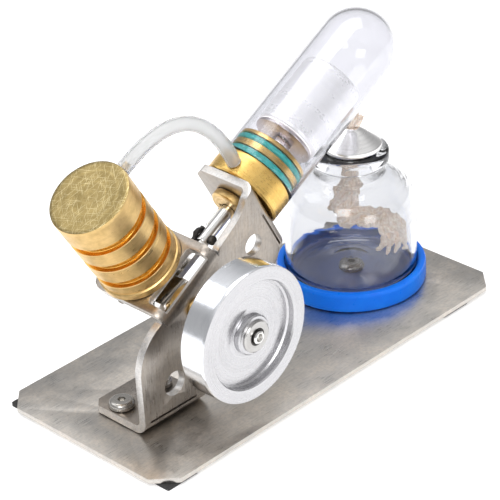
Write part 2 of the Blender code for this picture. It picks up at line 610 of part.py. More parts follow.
# guide wire beside the rod, hooked towards it at its lower end
wire = bpy.data.curves.new("guide_wire", "CURVE")
wire.dimensions = "3D"
wire.bevel_depth = 0.5 * MM
wire.bevel_resolution = 1
wire.use_fill_caps = True
line = wire.splines.new("POLY")
route = [(2.25, 25.4), (2.6, 25.5), (2.85, 25.8), (2.92, 26.3), (2.92, 34.6)]
line.points.add(len(route) - 1)
for point, (y, z) in zip(line.points, route):
    point.co = (0, y * MM, z * MM, 1)
wire.materials.append(POLISHED)
wire_object = bpy.data.objects.new("guide_wire", wire)
bpy.context.scene.collection.objects.link(wire_object)
wire_object.parent = hot_axis

cap = [(2.2, DISPLACER_BOTTOM - 0.3), (9.4, DISPLACER_BOTTOM - 0.3), (9.8, DISPLACER_BOTTOM - 0.7),
       (9.8, DISPLACER_BOTTOM - 1.6), (2.2, DISPLACER_BOTTOM - 1.6)]
finish("displacer_end_cap", turned_bm(cap, 24, ring=True), BRASS, hot_axis)
finish("displacer_nut", prism_bm(circle(3.3, 6), DISPLACER_BOTTOM - 3.6, DISPLACER_BOTTOM - 1.85,
                                 [circle(2.2, 18)]), BRASS, hot_axis)
r, top, low = DISPLACER_R, DISPLACER_TOP, DISPLACER_BOTTOM
shell = [(0, top), (r - 1.2, top), (r - 0.35, top - 0.35), (r, top - 1.2), (r, low), (r - 0.9, low),
         (r - 0.9, top - 1.8), (r - 1.8, top - 0.9), (0, top - 0.9)]
finish("displacer", turned_bm(shell, 28), ALUMINIUM, hot_axis)

# The displacer's connecting rod: an eye on the crank pin, a flat bar in the
# rod's plane, and a tine that stands beside the rod at its far side.
link = finish("displacer_link",
              prism_bm([(-1.7, -3.0), (0.9, -3.0), (0.9, 14.8), (3.55, 14.8), (3.55, 24.2), (2.35, 24.2),
                        (2.35, 16.5), (-1.7, 16.5)], -1.1, 1.1),
              DARK, hot_axis, (0, 0, 0), (90, 0, 90))
link_eye = cutter("link_eye_tool", disc(2.4, -1.7, 0.9, 20), hot_axis, (0, 0, -THROW), turn_y)
link_tine = cutter("link_tine_tool", disc(2.2, 2.35, 3.55, 18), hot_axis, (0, 0, 21.5), turn_y)
for tool in (link_eye, link_tine):
    join = link.modifiers.new("join_" + tool.name, "BOOLEAN")
    join.operation = "UNION"
    join.solver = "EXACT"
    join.object = tool
cut(link, cutter("link_eye_bore_tool", disc(PIN_R + 0.15, -3, 2, 14), hot_axis, (0, 0, -THROW), turn_y))
cut(link, cutter("link_tine_bore_tool", disc(0.92, 1.6, 4.5, 12), hot_axis, (0, 0, 21.5), turn_y))
finish("link_pin", disc(0.8, 2.45, 5.0, 12), POLISHED, hot_axis, (0, 0, 21.5), turn_y)


# --------------------------------------------------------------------- hose
def hose_end(frame_angle, plane_y, offset, along, radius, around):
    """Point and outward direction of a port in layout millimetres."""
    n = Vector((math.cos(math.radians(frame_angle)), 0, math.sin(math.radians(frame_angle))))
    u = Vector((n.z, 0, -n.x))
    out = u * math.cos(math.radians(around)) + Vector((0, 1, 0)) * math.sin(math.radians(around))
    centre = Vector((CRANK_X, plane_y, CRANK_Z)) + n * along + u * offset
    return centre + out * radius, out


start_point, start_dir = hose_end(HOT_ANGLE, HOT_Y, 0, HOT_PORT, HOUSING_R + 0.35, HOT_PORT_ANGLE)
end_point, end_dir = hose_end(COLD_ANGLE, COLD_Y, COLD_OFFSET, COLD_PORT, COLD_R + 0.35, 0)
handles = (start_point, start_point + start_dir * 26.5, end_point + end_dir * 22.5, end_point)
STATIONS = 30


def hose_point(t):
    w = ((1 - t) ** 3, 3 * t * (1 - t) ** 2, 3 * t * t * (1 - t), t ** 3)
    return sum((p * k for p, k in zip(handles, w)), Vector())


def hose_tangent(t):
    w = ((1 - t) ** 2, 2 * t * (1 - t), t * t)
    return sum(((q - p) * k for p, q, k in zip(handles, handles[1:], w)), Vector()).normalized()


hose_bm = bmesh.new()
side = start_dir.cross(Vector((0, 0, 1))).normalized()
skins = []
for radius in (HOSE_R, HOSE_BORE_R):
    across = side
    loops = []
    for i in range(STATIONS + 1):
        t = i / STATIONS
        tangent = hose_tangent(t)
        across = (across - tangent * across.dot(tangent)).normalized()
        up = tangent.cross(across)
        centre = hose_point(t)
        loops.append([hose_bm.verts.new(centre + (across * math.cos(a) + up * math.sin(a)) * radius)
                      for a in (2 * math.pi * k / 12 for k in range(10))])
    skins.append(loops)
outer, inner = skins
for loops in skins:
    for a, b in zip(loops, loops[1:]):
        for k in range(10):
            m = (k + 1) % 10
            hose_bm.faces.new((a[k], a[m], b[m], b[k]))
for row in (0, -1):
    for k in range(10):
        m = (k + 1) % 10
        hose_bm.faces.new((outer[row][k], outer[row][m], inner[row][m], inner[row][k]))
finish("air_hose", hose_bm, SILICONE, layout, sharp=60)

# --------------------------------------------------------------------- lamp
h = HOLDER_HEIGHT
holder = [(2.25, GAP), (HOLDER_R - 0.4, GAP), (HOLDER_R, GAP + 0.4), (HOLDER_R, h - 0.6),
          (HOLDER_R - 0.6, h), (BOTTLE_R + 0.9, h), (BOTTLE_R + 0.4, h - 0.5), (BOTTLE_R + 0.4, 2.3),
          (2.25, 2.3)]
finish("lamp_holder", turned_bm(holder, 40, ring=True), BLUE, lamp_axis)
button_screw("lamp_holder_screw", lamp_axis, (0, 0, 2.3 + GAP), 4.0, 2.2, 1.9, 3.9, 1.3)

floor = 2.3 + GAP
bottle = [(5.2, 47.0), (12.0, 47.0), (12.8, 46.2), (12.8, 43.0), (12.2, 42.2), (11.0, 41.6), (11.0, 38.9),
          (11.9, 38.5), (15.2, 37.3), (17.7, 35.5), (19.5, 33.4), (20.8, 30.4), (BOTTLE_R, 26.6),
          (BOTTLE_R, floor + 1.6), (BOTTLE_R - 1.6, floor), (8.0, floor), (6.6, floor + 1.4),
          (5.6, floor + 3.4), (0, floor + 3.6)]
inside = [(0, floor + 5.2), (6.6, floor + 4.8), (8.2, floor + 2.2), (BOTTLE_R - 3.0, floor + 1.8),
          (BOTTLE_R - 1.6, floor + 3.2), (BOTTLE_R - 1.6, 26.2), (19.2, 29.6), (18.0, 32.4),
          (16.4, 34.3), (14.2, 35.9), (11.2, 37.0), (8.2, 38.2), (7.4, 39.2), (7.4, 46.4), (7.0, 47.0)]
bottle[0] = (7.0, 47.0)
finish("lamp_bottle", turned_bm(inside + bottle[1:], 32), GLASS, lamp_axis)

aside = (0.75, -0.75, 0)         # the cap sits to one side in the neck
cone = [(1.7, 54.2), (2.4, 54.2), (2.7, 53.9), (9.2, 48.9), (9.5, 48.2), (9.5, 47.3), (6.0, 47.3), (6.0, 42.6),
        (1.7, 42.6)]
finish("lamp_cone_cap", turned_bm(cone, 28, ring=True), ALUMINIUM, lamp_axis, aside)
wick = [(0, 58.4), (1.5, 58.2), (2.2, 57.2), (2.3, 55.8), (1.4, 54.6), (1.4, 42.0), (3.2, 40.6), (3.6, 36.0), (3.4, 12.0),
        (2.6, 9.6), (0, 9.2)]
finish("lamp_wick", turned_bm(wick, 16), COTTON, lamp_axis, aside)
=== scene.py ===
"""Looks of a small hot-air (Stirling) engine with a spirit lamp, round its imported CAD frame.

Lengths below are millimetres in the layout frame: X along the base plate from
its left edge, Y from its front edge, Z up from its top face.
"""
import math
import random

import bmesh
import bpy
from mathutils import Euler, Matrix, Vector


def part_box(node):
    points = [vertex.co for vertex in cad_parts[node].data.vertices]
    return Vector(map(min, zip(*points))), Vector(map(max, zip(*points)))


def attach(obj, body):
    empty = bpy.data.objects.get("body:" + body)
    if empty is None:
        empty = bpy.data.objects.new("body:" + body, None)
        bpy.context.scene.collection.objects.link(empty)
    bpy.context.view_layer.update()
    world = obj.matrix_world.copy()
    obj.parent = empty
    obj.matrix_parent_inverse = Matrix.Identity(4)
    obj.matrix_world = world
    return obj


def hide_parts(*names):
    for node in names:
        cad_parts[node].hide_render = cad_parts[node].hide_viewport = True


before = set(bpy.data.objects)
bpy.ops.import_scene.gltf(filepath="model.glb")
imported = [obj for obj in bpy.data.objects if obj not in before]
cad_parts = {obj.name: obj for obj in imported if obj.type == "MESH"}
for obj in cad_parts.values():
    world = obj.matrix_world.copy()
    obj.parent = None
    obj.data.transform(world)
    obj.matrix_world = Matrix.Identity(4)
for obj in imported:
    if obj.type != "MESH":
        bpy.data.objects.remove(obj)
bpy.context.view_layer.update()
MM = 0.001

# ----- dimensions
BASE_LENGTH, BASE_DEPTH, BASE_THICKNESS, BASE_CHAMFER = 152.0, 70.0, 1.5, 6.7
PAD_THICKNESS = 1.3
SHEET, BRACKET_Y, BEND_R, GAP = 2.5, 22.0, 4.5, 0.25
FOOT_LEFT, FOOT_RIGHT, FOOT_BACK = 14.2, 39.5, 45.0
CRANK_X, CRANK_Z = 36.8, 34.2
HOT_ANGLE, COLD_ANGLE = 28.5, 121.0
HOT_Y, COLD_Y, COLD_OFFSET = 35.4, 41.0, 2.3
HOT_FLANGE, COLD_FLANGE = 38.2, 9.2
THROW, SHAFT_FRONT = 4.2, -4.2
WEB_FRONT, WEB_BACK, SHAFT_BACK = 27.2, 32.2, 29.0
WEB_STEP, WEB_STEP_R = 29.7, 6.35
PIN_R, PIN_BACK = 1.1, 43.2
CROSS_PIN_HEIGHT = 21.5
FLYWHEEL_R, FLYWHEEL_FRONT, FLYWHEEL_BACK, RECESS_R = 21.0, -2.3, 7.0, 16.6
COLD_R, COLD_BORE_R, COLD_TOP, COLD_BORE_END, COLD_PORT = 12.65, 9.5, 43.7, 41.0, 39.3
COLD_GROOVES = (33.7, 25.3, 16.8)
HOUSING_R, HOUSING_TOP, NECK_TOP, HOT_PORT, HOT_PORT_ANGLE = 12.8, 46.3, 55.3, 42.0, 186.0
NECK_R = 11.5
GLASS_R, GLASS_WALL, GLASS_RIM, GLASS_DOME = 12.8, 1.0, 46.55, 99.5
RING_AT = (48.2, 52.6)
DISPLACER_R, DISPLACER_BOTTOM, DISPLACER_TOP = 10.3, 61.9, 86.5
LAMP_X, LAMP_Y, HOLDER_R, HOLDER_HEIGHT, BOTTLE_R = 123.2, 38.4, 24.3, 6.9, 21.4
HOLDER_FLOOR = 2.3
HOSE_R, HOSE_BORE_R = 2.3, 1.6
M4 = (4.0, 2.2, 1.9)  # head radius and height, shank radius
FOOT_SCREWS = ((18.6, 36.8), (34.0, 36.8))
FLOOR = -(BASE_THICKNESS + PAD_THICKNESS)
ORIGIN = Vector((-BASE_LENGTH / 2, -(BASE_DEPTH + SHAFT_FRONT) / 2, -FLOOR))
REST = HOT_ANGLE + 180.0
BASE, ASSEMBLY, POLISHED = "engine_frame", "displacer_assembly", "polished_steel"

# The camera's directions; the wick's strands are laid out along them too.
RIGHT = Vector((0.7082, -0.7060, 0))
UP = Vector((0.3492, 0.3503, 0.8691))
FORWARD = Vector((0.6136, 0.6155, -0.4946))
ROLL = math.radians(-2.722)
DEEP = Vector((0.706, 0.708, 0))


# ----- frames
def polar(radius, degrees):
    angle = math.radians(degrees)
    return radius * math.cos(angle), radius * math.sin(angle)


def place(location=(0, 0, 0), rotation=(0, 0, 0), parent=None):
    turn = Euler([math.radians(a) for a in rotation]).to_matrix().to_4x4()
    matrix = Matrix.Translation(Vector(location) * MM) @ turn
    return (parent @ matrix) if parent else matrix


TURN_Y = (-90, 0, 0)  # local Z lies along the layout's +Y
LAYOUT = place(ORIGIN)
CRANK = place((CRANK_X, 0, CRANK_Z), TURN_Y, LAYOUT)
HOT = place((CRANK_X, HOT_Y, CRANK_Z), (0, 90 - HOT_ANGLE, 0), LAYOUT)
COLD = place((CRANK_X, COLD_Y, CRANK_Z), (0, 90 - COLD_ANGLE, 0), LAYOUT)
BARREL = place((COLD_OFFSET, 0, 0), parent=COLD)
CROSS_PIN = place((0, 0, CROSS_PIN_HEIGHT), TURN_Y, HOT)
LAMP = place((LAMP_X, LAMP_Y, 0), parent=LAYOUT)
ASIDE = place((0.75, -0.75, 0), parent=LAMP)  # the cap and the wick stand a little aside in the neck


# ----- materials
class Wiring:
    """Short ways to add nodes to a tree and to join them."""

    def __init__(self, tree):
        self.tree = tree

    def put(self, node, socket, value):
        if isinstance(value, bpy.types.NodeSocket):
            self.tree.links.new(value, node.inputs[socket])
        else:
            node.inputs[socket].default_value = value

    def node(self, kind, *values, **settings):
        """A new node; `values` go to its first sockets in turn."""
        made = self.tree.nodes.new(kind)
        for key, value in settings.items():
            setattr(made, key, value)
        for index, value in enumerate(values):
            self.put(made, index, value)
        return made


class Look(Wiring):
    """A Principled material and short ways to wire detail into it.

    Object coordinates are the piece's own frame in metres, with local Z along
    the axis of a turned piece."""

    def __init__(self, name, colour, rough, metal=0.0, **values):
        self.mat = bpy.data.materials.new(name)
        self.mat.use_nodes = True
        super().__init__(self.mat.node_tree)
        self.shader = self.tree.nodes["Principled BSDF"]
        self.put(self.shader, "Base Color", (*colour, 1.0))
        self.put(self.shader, "Roughness", rough)
        self.put(self.shader, "Metallic", metal)
        for key, value in values.items():
            self.put(self.shader, key.replace("_", " "), value)
        self.mat.diffuse_color = (*colour, 1.0)
        self.height = None

    def coord(self):
        return self.node("ShaderNodeTexCoord").outputs["Object"]

    def scaled(self, vector, scale):
        node = self.node("ShaderNodeMapping", vector)
        self.put(node, "Scale", scale)
        return node.outputs["Vector"]

    def math(self, operation, *values):
        return self.node("ShaderNodeMath", *values, operation=operation).outputs[0]

    def turned(self, radial, axial, round_about=0.0):
        """Coordinates that stay the same round the axis, for lathe marks."""
        x, y, z = self.node("ShaderNodeSeparateXYZ", self.coord()).outputs
        radius = self.math("SQRT", self.math("ADD", self.math("MULTIPLY", x, x), self.math("MULTIPLY", y, y)))
        angle = self.math("ABSOLUTE", self.math("ARCTAN2", y, x))
        scaled = [self.math("MULTIPLY", value, scale)
                  for value, scale in ((radius, radial), (z, axial), (angle, round_about))]
        return self.node("ShaderNodeCombineXYZ", *scaled).outputs[0]

    def noise(self, scale, detail=3.0, rough=0.55, vector=None):
        node = self.node("ShaderNodeTexNoise", vector or self.coord())
        for socket, value in (("Scale", scale), ("Detail", detail), ("Roughness", rough)):
            self.put(node, socket, value)
        return node.outputs["Fac"]

    def ramp(self, value, low, high, out_low, out_high):
        return self.node("ShaderNodeMapRange", value, low, high, out_low, out_high, clamp=True).outputs[0]

    def tint(self, value, first, second):
        node = self.node("ShaderNodeMix", value, data_type="RGBA")
        for socket, colour in ((6, first), (7, second)):
            self.put(node, socket, (*colour, 1.0) if isinstance(colour, tuple) else colour)
        return node.outputs[2]

    def bump(self, value, depth_mm):
        node = self.node("ShaderNodeBump")
        self.put(node, "Distance", depth_mm * MM)
        self.put(node, "Height", value)
        if self.height is not None:
            self.put(node, "Normal", self.height)
        self.height = node.outputs["Normal"]
        self.put(self.shader, "Normal", self.height)
        return self

    def colour(self, value):
        self.put(self.shader, "Base Color", value)
        return self

    def rough(self, value):
        self.put(self.shader, "Roughness", value)
        return self

    def mottle(self, value, low, high, first, second, amount=1.0):
        """Blends two colours where `value` goes from low to high."""
        return self.colour(self.tint(self.ramp(value, low, high, 0.0, amount), first, second))

    def uneven(self, value, low, high):
        """Lets the roughness wander between low and high."""
        return self.rough(self.ramp(value, 0.3, 0.7, low, high))

    def scratches(self, angles, colour, amount):
        """Fine straight scratches across the local XY plane."""
        base = self.shader.inputs["Base Color"].links[0].from_socket
        for angle in angles:
            node = self.node("ShaderNodeMapping", self.coord())
            self.put(node, "Rotation", (0.0, 0.0, math.radians(angle)))
            line = self.noise(1.0, 2.0, 0.5, self.scaled(node.outputs["Vector"], (110, 3600, 0)))
            base = self.tint(self.ramp(line, 0.60, 0.68, 0.0, amount), base, colour)
            self.bump(line, 0.006)
        return self.colour(base)

    def radial_grain(self, amount):
        """Anisotropy round the local Z axis, as a lathe leaves it."""
        self.put(self.shader, "Anisotropic", amount)
        tangent = self.node("ShaderNodeTangent", direction_type="RADIAL", axis="Z")
        self.put(self.shader, "Tangent", tangent.outputs[0])
        return self


def shade_of(colour, factor):
    return tuple(min(1, c * factor) for c in colour)


def sheet_steel(name, colour, along=(60, 1400, 1400), rough=(0.24, 0.46)):
    """Brushed stainless sheet: long fine grain, cloudy tone and small pits."""
    look = Look(name, colour, 0.35, 1.0)
    grain = look.noise(3.0, 4.0, 0.6, look.scaled(look.coord(), along))
    cloud = look.noise(90.0, 4.0, 0.6)
    speck = look.noise(900.0, 3.0, 0.7)
    warm = (min(1, colour[0] * 1.10), colour[1] * 1.02, colour[2] * 0.93)
    base = look.tint(look.ramp(cloud, 0.35, 0.68, 0.0, 1.0), shade_of(colour, 0.70), warm)
    base = look.tint(look.ramp(speck, 0.42, 0.60, 0.0, 0.55), base, shade_of(colour, 0.62))
    look.mottle(grain, 0.30, 0.70, base, shade_of(colour, 1.22), 0.6)
    look.rough(look.ramp(look.math("ADD", grain, cloud), 0.7, 1.3, rough[0], rough[1]))
    look.bump(grain, 0.012).bump(speck, 0.010)
    return look


def lathe_metal(name, colour, rough, tarnish, marks=2600.0, depth=0.008, grain=0.35, cloud_scale=140.0,
                cloud=(0.45, 0.75), ring_tone=0.28, **values):
    """Turned metal: rings left by the tool, worn and tarnished in patches."""
    look = Look(name, colour, rough, 1.0, **values)
    ring = look.noise(1.0, 3.0, 0.65, look.turned(marks, marks, 0.15))
    patch = look.noise(cloud_scale, 5.0, 0.62)
    fine = look.noise(1.0, 2.0, 0.6, look.scaled(look.coord(), (900, 900, 900)))
    base = look.tint(look.ramp(patch, *cloud, 0.0, 0.8), colour, tarnish)
    look.mottle(ring, 0.35, 0.65, base, shade_of(colour, 0.62), ring_tone)
    look.rough(look.ramp(look.math("ADD", ring, look.math("MULTIPLY", fine, 0.5)), 0.5, 1.0,
                         rough * 0.7, rough * 1.5))
    look.bump(ring, depth)
    if grain:
        look.radial_grain(grain)
    return look


plate_steel = sheet_steel("plate_steel", (0.66, 0.635, 0.60))
bracket_steel = sheet_steel("bracket_steel", (0.41, 0.375, 0.34), along=(900, 900, 70), rough=(0.24, 0.42))
edge_steel = sheet_steel("edge_steel", (0.74, 0.73, 0.72), along=(700, 700, 700), rough=(0.30, 0.5))
bright_steel = Look("bright_steel", (0.80, 0.79, 0.77), 0.14, 1.0)
bright_steel.uneven(bright_steel.noise(700.0), 0.08, 0.24)
ground_steel = lathe_metal("ground_steel", (0.74, 0.73, 0.71), 0.22, (0.52, 0.50, 0.47), grain=0.0)
screw_steel = lathe_metal("screw_steel", (0.50, 0.48, 0.45), 0.26, (0.30, 0.27, 0.24), grain=0.0)
cap_steel = lathe_metal("cap_steel", (0.72, 0.66, 0.66), 0.30, (0.52, 0.46, 0.46), grain=0.2)
dark_steel = Look("dark_steel", (0.045, 0.042, 0.04), 0.42, 0.7)
worn = dark_steel.noise(520.0, 4.0)
dark_steel.mottle(worn, 0.5, 0.75, (0.035, 0.033, 0.032), (0.18, 0.16, 0.14), 0.6)
dark_steel.uneven(worn, 0.3, 0.55).bump(worn, 0.02)

aluminium = lathe_metal(
    "turned_aluminium", (0.60, 0.595, 0.61), 0.24, (0.57, 0.57, 0.59), depth=0.0015, grain=0.75, ring_tone=0.12)
rim_aluminium = lathe_metal(
    "rim_aluminium", (0.90, 0.915, 0.95), 0.13, (0.80, 0.82, 0.86), marks=900.0,
    depth=0.001, grain=0.2, ring_tone=0.1)
hub_aluminium = lathe_metal(
    "hub_aluminium", (0.54, 0.53, 0.52), 0.24, (0.5, 0.48, 0.46), marks=3000.0, grain=0.5)
cone_aluminium = lathe_metal(
    "cone_aluminium", (0.95, 0.94, 0.93), 0.20, (0.88, 0.87, 0.86), marks=1500.0, depth=0.003, grain=0.3)
# The displacer glows a little, to make up for the light that its glass takes away.
displacer_aluminium = lathe_metal(
    "displacer_aluminium", (0.98, 0.98, 0.985), 0.30, (0.96, 0.96, 0.965), marks=400.0, depth=0.003, grain=0.0,
    Metallic=0.5, Emission_Color=(1, 1, 1, 1), Emission_Strength=0.4)

brass = lathe_metal(
    "turned_brass", (0.80, 0.56, 0.25), 0.34, (0.52, 0.35, 0.13), marks=2400.0, depth=0.006,
    grain=0.1, cloud_scale=170.0, cloud=(0.42, 0.68), ring_tone=0.15)
housing_brass = lathe_metal(
    "housing_brass", (0.93, 0.62, 0.20), 0.27, (0.76, 0.46, 0.11), marks=2400.0, depth=0.006, grain=0.3)
groove_brass = lathe_metal("groove_brass", (0.86, 0.50, 0.12), 0.26, (0.62, 0.32, 0.06), marks=2400.0)
brass_end = lathe_metal(
    "worn_brass_end", (0.41, 0.31, 0.13), 0.36, (0.27, 0.20, 0.075), marks=1500.0,
    depth=0.012, grain=0.3, cloud_scale=260.0, cloud=(0.42, 0.70))
brass_end.scratches((20.0, 74.0, 131.0, 163.0), (0.80, 0.68, 0.40), 0.6)

teal = Look("teal_rubber", (0.01, 0.36, 0.31), 0.42)
teal.mottle(teal.noise(600.0), 0.4, 0.7, (0.03, 0.68, 0.63), (0.08, 0.84, 0.80))
teal.bump(teal.noise(1500.0), 0.02)

blue = Look("blue_plastic", (0.004, 0.115, 0.80), 0.34, Subsurface_Weight=0.12,
            Subsurface_Radius=(0.002, 0.004, 0.012), Specular_IOR_Level=0.28)
blue.mottle(blue.noise(120.0, 4.0), 0.35, 0.7, (0.001, 0.165, 0.86), (0.002, 0.22, 0.96))
blue.uneven(blue.noise(700.0), 0.26, 0.42)
blue.bump(blue.noise(500.0), 0.02)
# The ring's floor takes a paler copy of the blue: painted light that stands in for how the floor looks through the
# bottle's glass.
blue_floor_painted_pale = Look("blue_floor_painted_pale", (0.32, 0.44, 0.98), 0.4)
blue_floor_painted_pale.bump(blue_floor_painted_pale.noise(500.0), 0.01)

rubber = Look("black_rubber", (0.018, 0.018, 0.019), 0.75)
rubber.bump(rubber.noise(2200.0, 4.0), 0.06)
rubber.colour(rubber.tint(rubber.noise(1500.0), (0.012, 0.012, 0.013), (0.035, 0.034, 0.033)))

glass = Look("clear_glass", (0.825, 0.825, 0.855), 0.0, Transmission_Weight=1.0, IOR=1.47)
glass.bump(glass.noise(60.0, 2.0), 0.02)
thick_glass = Look("pressed_glass", (0.84, 0.845, 0.86), 0.01, Transmission_Weight=1.0, IOR=1.5)
thick_glass.bump(thick_glass.noise(90.0, 3.0), 0.08)

silicone = Look("silicone_hose", (0.88, 0.885, 0.885), 0.20, Transmission_Weight=0.78, IOR=1.34,
                Subsurface_Weight=0.2, Subsurface_Radius=(0.003, 0.003, 0.003))
silicone.uneven(silicone.noise(300.0), 0.16, 0.24)

# The cotton glows a little: painted light that makes up for the light the bottle's glass keeps from the wick.
cotton = Look("cotton", (0.88, 0.80, 0.72), 0.95, Emission_Color=(1.0, 0.86, 0.76, 1.0),
              Emission_Strength=0.17, Sheen_Weight=0.5, Sheen_Roughness=0.5,
              Subsurface_Weight=0.15, Subsurface_Radius=(0.002, 0.0015, 0.001))
fluff = cotton.noise(1500.0, 4.0)
cotton.mottle(fluff, 0.35, 0.65, (0.70, 0.57, 0.47), (0.98, 0.92, 0.85)).bump(fluff, 0.2)


# ----- geometry
def link_new(name, data):
    obj = bpy.data.objects.new(name, data)
    bpy.context.scene.collection.objects.link(obj)
    return obj


def mesh_object(name, bm, matrix, looks=()):
    """Turns a bmesh in millimetres into an object at `matrix`."""
    bmesh.ops.scale(bm, vec=(MM, MM, MM), verts=bm.verts)
    mesh = bpy.data.meshes.new(name)
    bm.to_mesh(mesh)
    bm.free()
    for look in looks:
        mesh.materials.append(look.mat)
    obj = link_new(name, mesh)
    obj.matrix_world = matrix
    return obj


def bake(obj):
    """Applies an object's modifiers to its mesh."""
    bpy.context.view_layer.update()
    evaluated = obj.evaluated_get(bpy.context.evaluated_depsgraph_get())
    mesh = bpy.data.meshes.new_from_object(evaluated)
    obj.modifiers.clear()
    obj.data = mesh


def shade(obj, sharp):
    obj.data.shade_smooth()
    obj.data.set_sharp_from_angle(angle=math.radians(sharp))


def soften(obj, width, angle, sharp=32.0):
    """Rounds a finished shape's edges."""
    mod = obj.modifiers.new("edges", "BEVEL")
    mod.width, mod.segments, mod.limit_method, mod.angle_limit = width * MM, 2, "ANGLE", math.radians(angle)
    bake(obj)
    shade(obj, sharp)


def settle(name, bm, look, matrix, body, node, bevel=0.0, sharp=32.0, looks=()):
    """Finishes a piece: bevel, smooth shading, materials, place, body and CAD node."""
    bmesh.ops.remove_doubles(bm, verts=bm.verts, dist=1e-5)
    bmesh.ops.recalc_face_normals(bm, faces=bm.faces)
    obj = mesh_object(name, bm, matrix, (look, *looks))
    if bevel:
        soften(obj, bevel, 30.0, sharp)
    else:
        shade(obj, sharp)
    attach(obj, body)
    if node:
        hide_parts(node)
    return obj


def circle(radius, count, centre=(0.0, 0.0), start=0.0, stop=360.0, closed=True):
    steps = count if closed else count - 1
    points = [polar(radius, start + (stop - start) * i / steps) for i in range(count)]
    return [(centre[0] + x, centre[1] + y) for x, y in points]


def rectangle(x0, y0, x1, y1):
    return [(x0, y0), (x1, y0), (x1, y1), (x0, y1)]


def prism_bm(outline, low, high, holes=()):
    bm = bmesh.new()
    for loop in (outline, *holes):
        verts = [bm.verts.new((x, y, low)) for x, y in loop]
        for a, b in zip(verts, verts[1:] + verts[:1]):
            bm.edges.new((a, b))
    bmesh.ops.triangle_fill(bm, use_beauty=True, use_dissolve=False, edges=bm.edges)
    if sum((f.normal * f.calc_area() for f in bm.faces), Vector()).z > 0:
        bmesh.ops.reverse_faces(bm, faces=bm.faces)
    grown = bmesh.ops.extrude_face_region(bm, geom=bm.faces[:])
    top = [g for g in grown["geom"] if isinstance(g, bmesh.types.BMVert)]
    bmesh.ops.translate(bm, vec=(0, 0, high - low), verts=top)
    return bm


def supported(profile, closed, reach=0.7):
    """Adds points close to a long run's ends, so that its smooth shading stays flat."""
    out = []
    for a, b in zip(profile, profile[1:] + (profile[:1] if closed else [])):
        out.append(a)
        run = Vector(b) - Vector(a)
        if run.length > 3 * reach:
            for distance in (reach, run.length - reach):
                q = Vector(a) + run.normalized() * distance
                out.append((q.x, q.y))
    return out if closed else out + [profile[-1]]


def turned_bm(profile, sides=96, ring=False, paint=None):
    """A body of revolution about Z; paint(radius, z) gives a face row's material index."""
    bm = bmesh.new()
    rows = []
    profile = supported(profile, ring)
    for radius, z in profile:
        if radius < 1e-6:
            rows.append([bm.verts.new((0, 0, z))])
        else:
            angles = [2 * math.pi * i / sides for i in range(sides)]
            rows.append([bm.verts.new((radius * math.cos(a), radius * math.sin(a), z)) for a in angles])
    pairs = list(zip(rows, rows[1:], profile, profile[1:]))
    if ring:
        pairs.append((rows[-1], rows[0], profile[-1], profile[0]))
    for a, b, pa, pb in pairs:
        if len(a) == 1 and len(b) == 1:
            continue
        index = paint((pa[0] + pb[0]) / 2, (pa[1] + pb[1]) / 2) if paint else 0
        for i in range(sides):
            j = (i + 1) % sides
            if len(a) == 1:
                face = bm.faces.new((a[0], b[j], b[i]))
            elif len(b) == 1:
                face = bm.faces.new((a[i], a[j], b[0]))
            else:
                face = bm.faces.new((a[i], a[j], b[j], b[i]))
            face.material_index = index
    return bm


def band(bm, a, b):
    """A row of faces between two loops of vertices."""
    for k in range(len(a)):
        m = (k + 1) % len(a)
        bm.faces.new((a[k], a[m], b[m], b[k]))


def arc(corner, a, b, back, steps):
    """A curve that leaves and meets the corner's sides, `back` from it along a and b."""
    start, end = corner + a.normalized() * back, corner + b.normalized() * back
    points = [start * (1 - t) ** 2 + corner * 2 * t * (1 - t) + end * t * t
              for t in (k / steps for k in range(steps + 1))]
    return [(q.x, q.y) for q in points]


def smooth_profile(points, radius=0.35, steps=3):
    """Rounds an open profile's corners with small arcs."""
    out = [points[0]]
    for before, p, after in zip(points, points[1:], points[2:]):
        corner = Vector(p)
        a, b = Vector(before) - corner, Vector(after) - corner
        if a.length < 1e-6 or b.length < 1e-6 or abs(a.angle_signed(b)) > math.radians(168):
            out.append(p)
            continue
        back = min(radius, a.length * 0.45, b.length * 0.45)
        out += arc(corner, a, b, back, steps)
    return out + [points[-1]]


def rounded(points, radius, steps=4):
    """A closed outline with its corners rounded by `radius` (or one each)."""
    out = []
    for i, p in enumerate(points):
        corner = Vector(p)
        a, b = Vector(points[i - 1]) - corner, Vector(points[(i + 1) % len(points)]) - corner
        r = radius[i] if isinstance(radius, (list, tuple)) else radius
        half = a.angle(b) / 2 if r > 0 else math.pi
        back = min(r / math.tan(half), a.length * 0.49, b.length * 0.49) if half < math.pi / 2 - 0.01 else 0
        if back < 1e-4:
            out.append(p)
        else:
            out += arc(corner, a, b, back, steps)
    return out


def combine(obj, tool_bm, operation, world):
    """Boolean of an object and a closed tool that stands at `world`."""
    bmesh.ops.recalc_face_normals(tool_bm, faces=tool_bm.faces)
    tool = mesh_object("tool", tool_bm, world)
    mod = obj.modifiers.new("combine", "BOOLEAN")
    mod.operation, mod.solver, mod.object = operation, "EXACT", tool
    bake(obj)
    bpy.data.objects.remove(tool)


def cut(obj, tool_bm, matrix=None):
    """Boolean difference of a tool given in the object's own frame."""
    combine(obj, tool_bm, "DIFFERENCE", obj.matrix_world @ (matrix or Matrix.Identity(4)))
    shade(obj, 32.0)


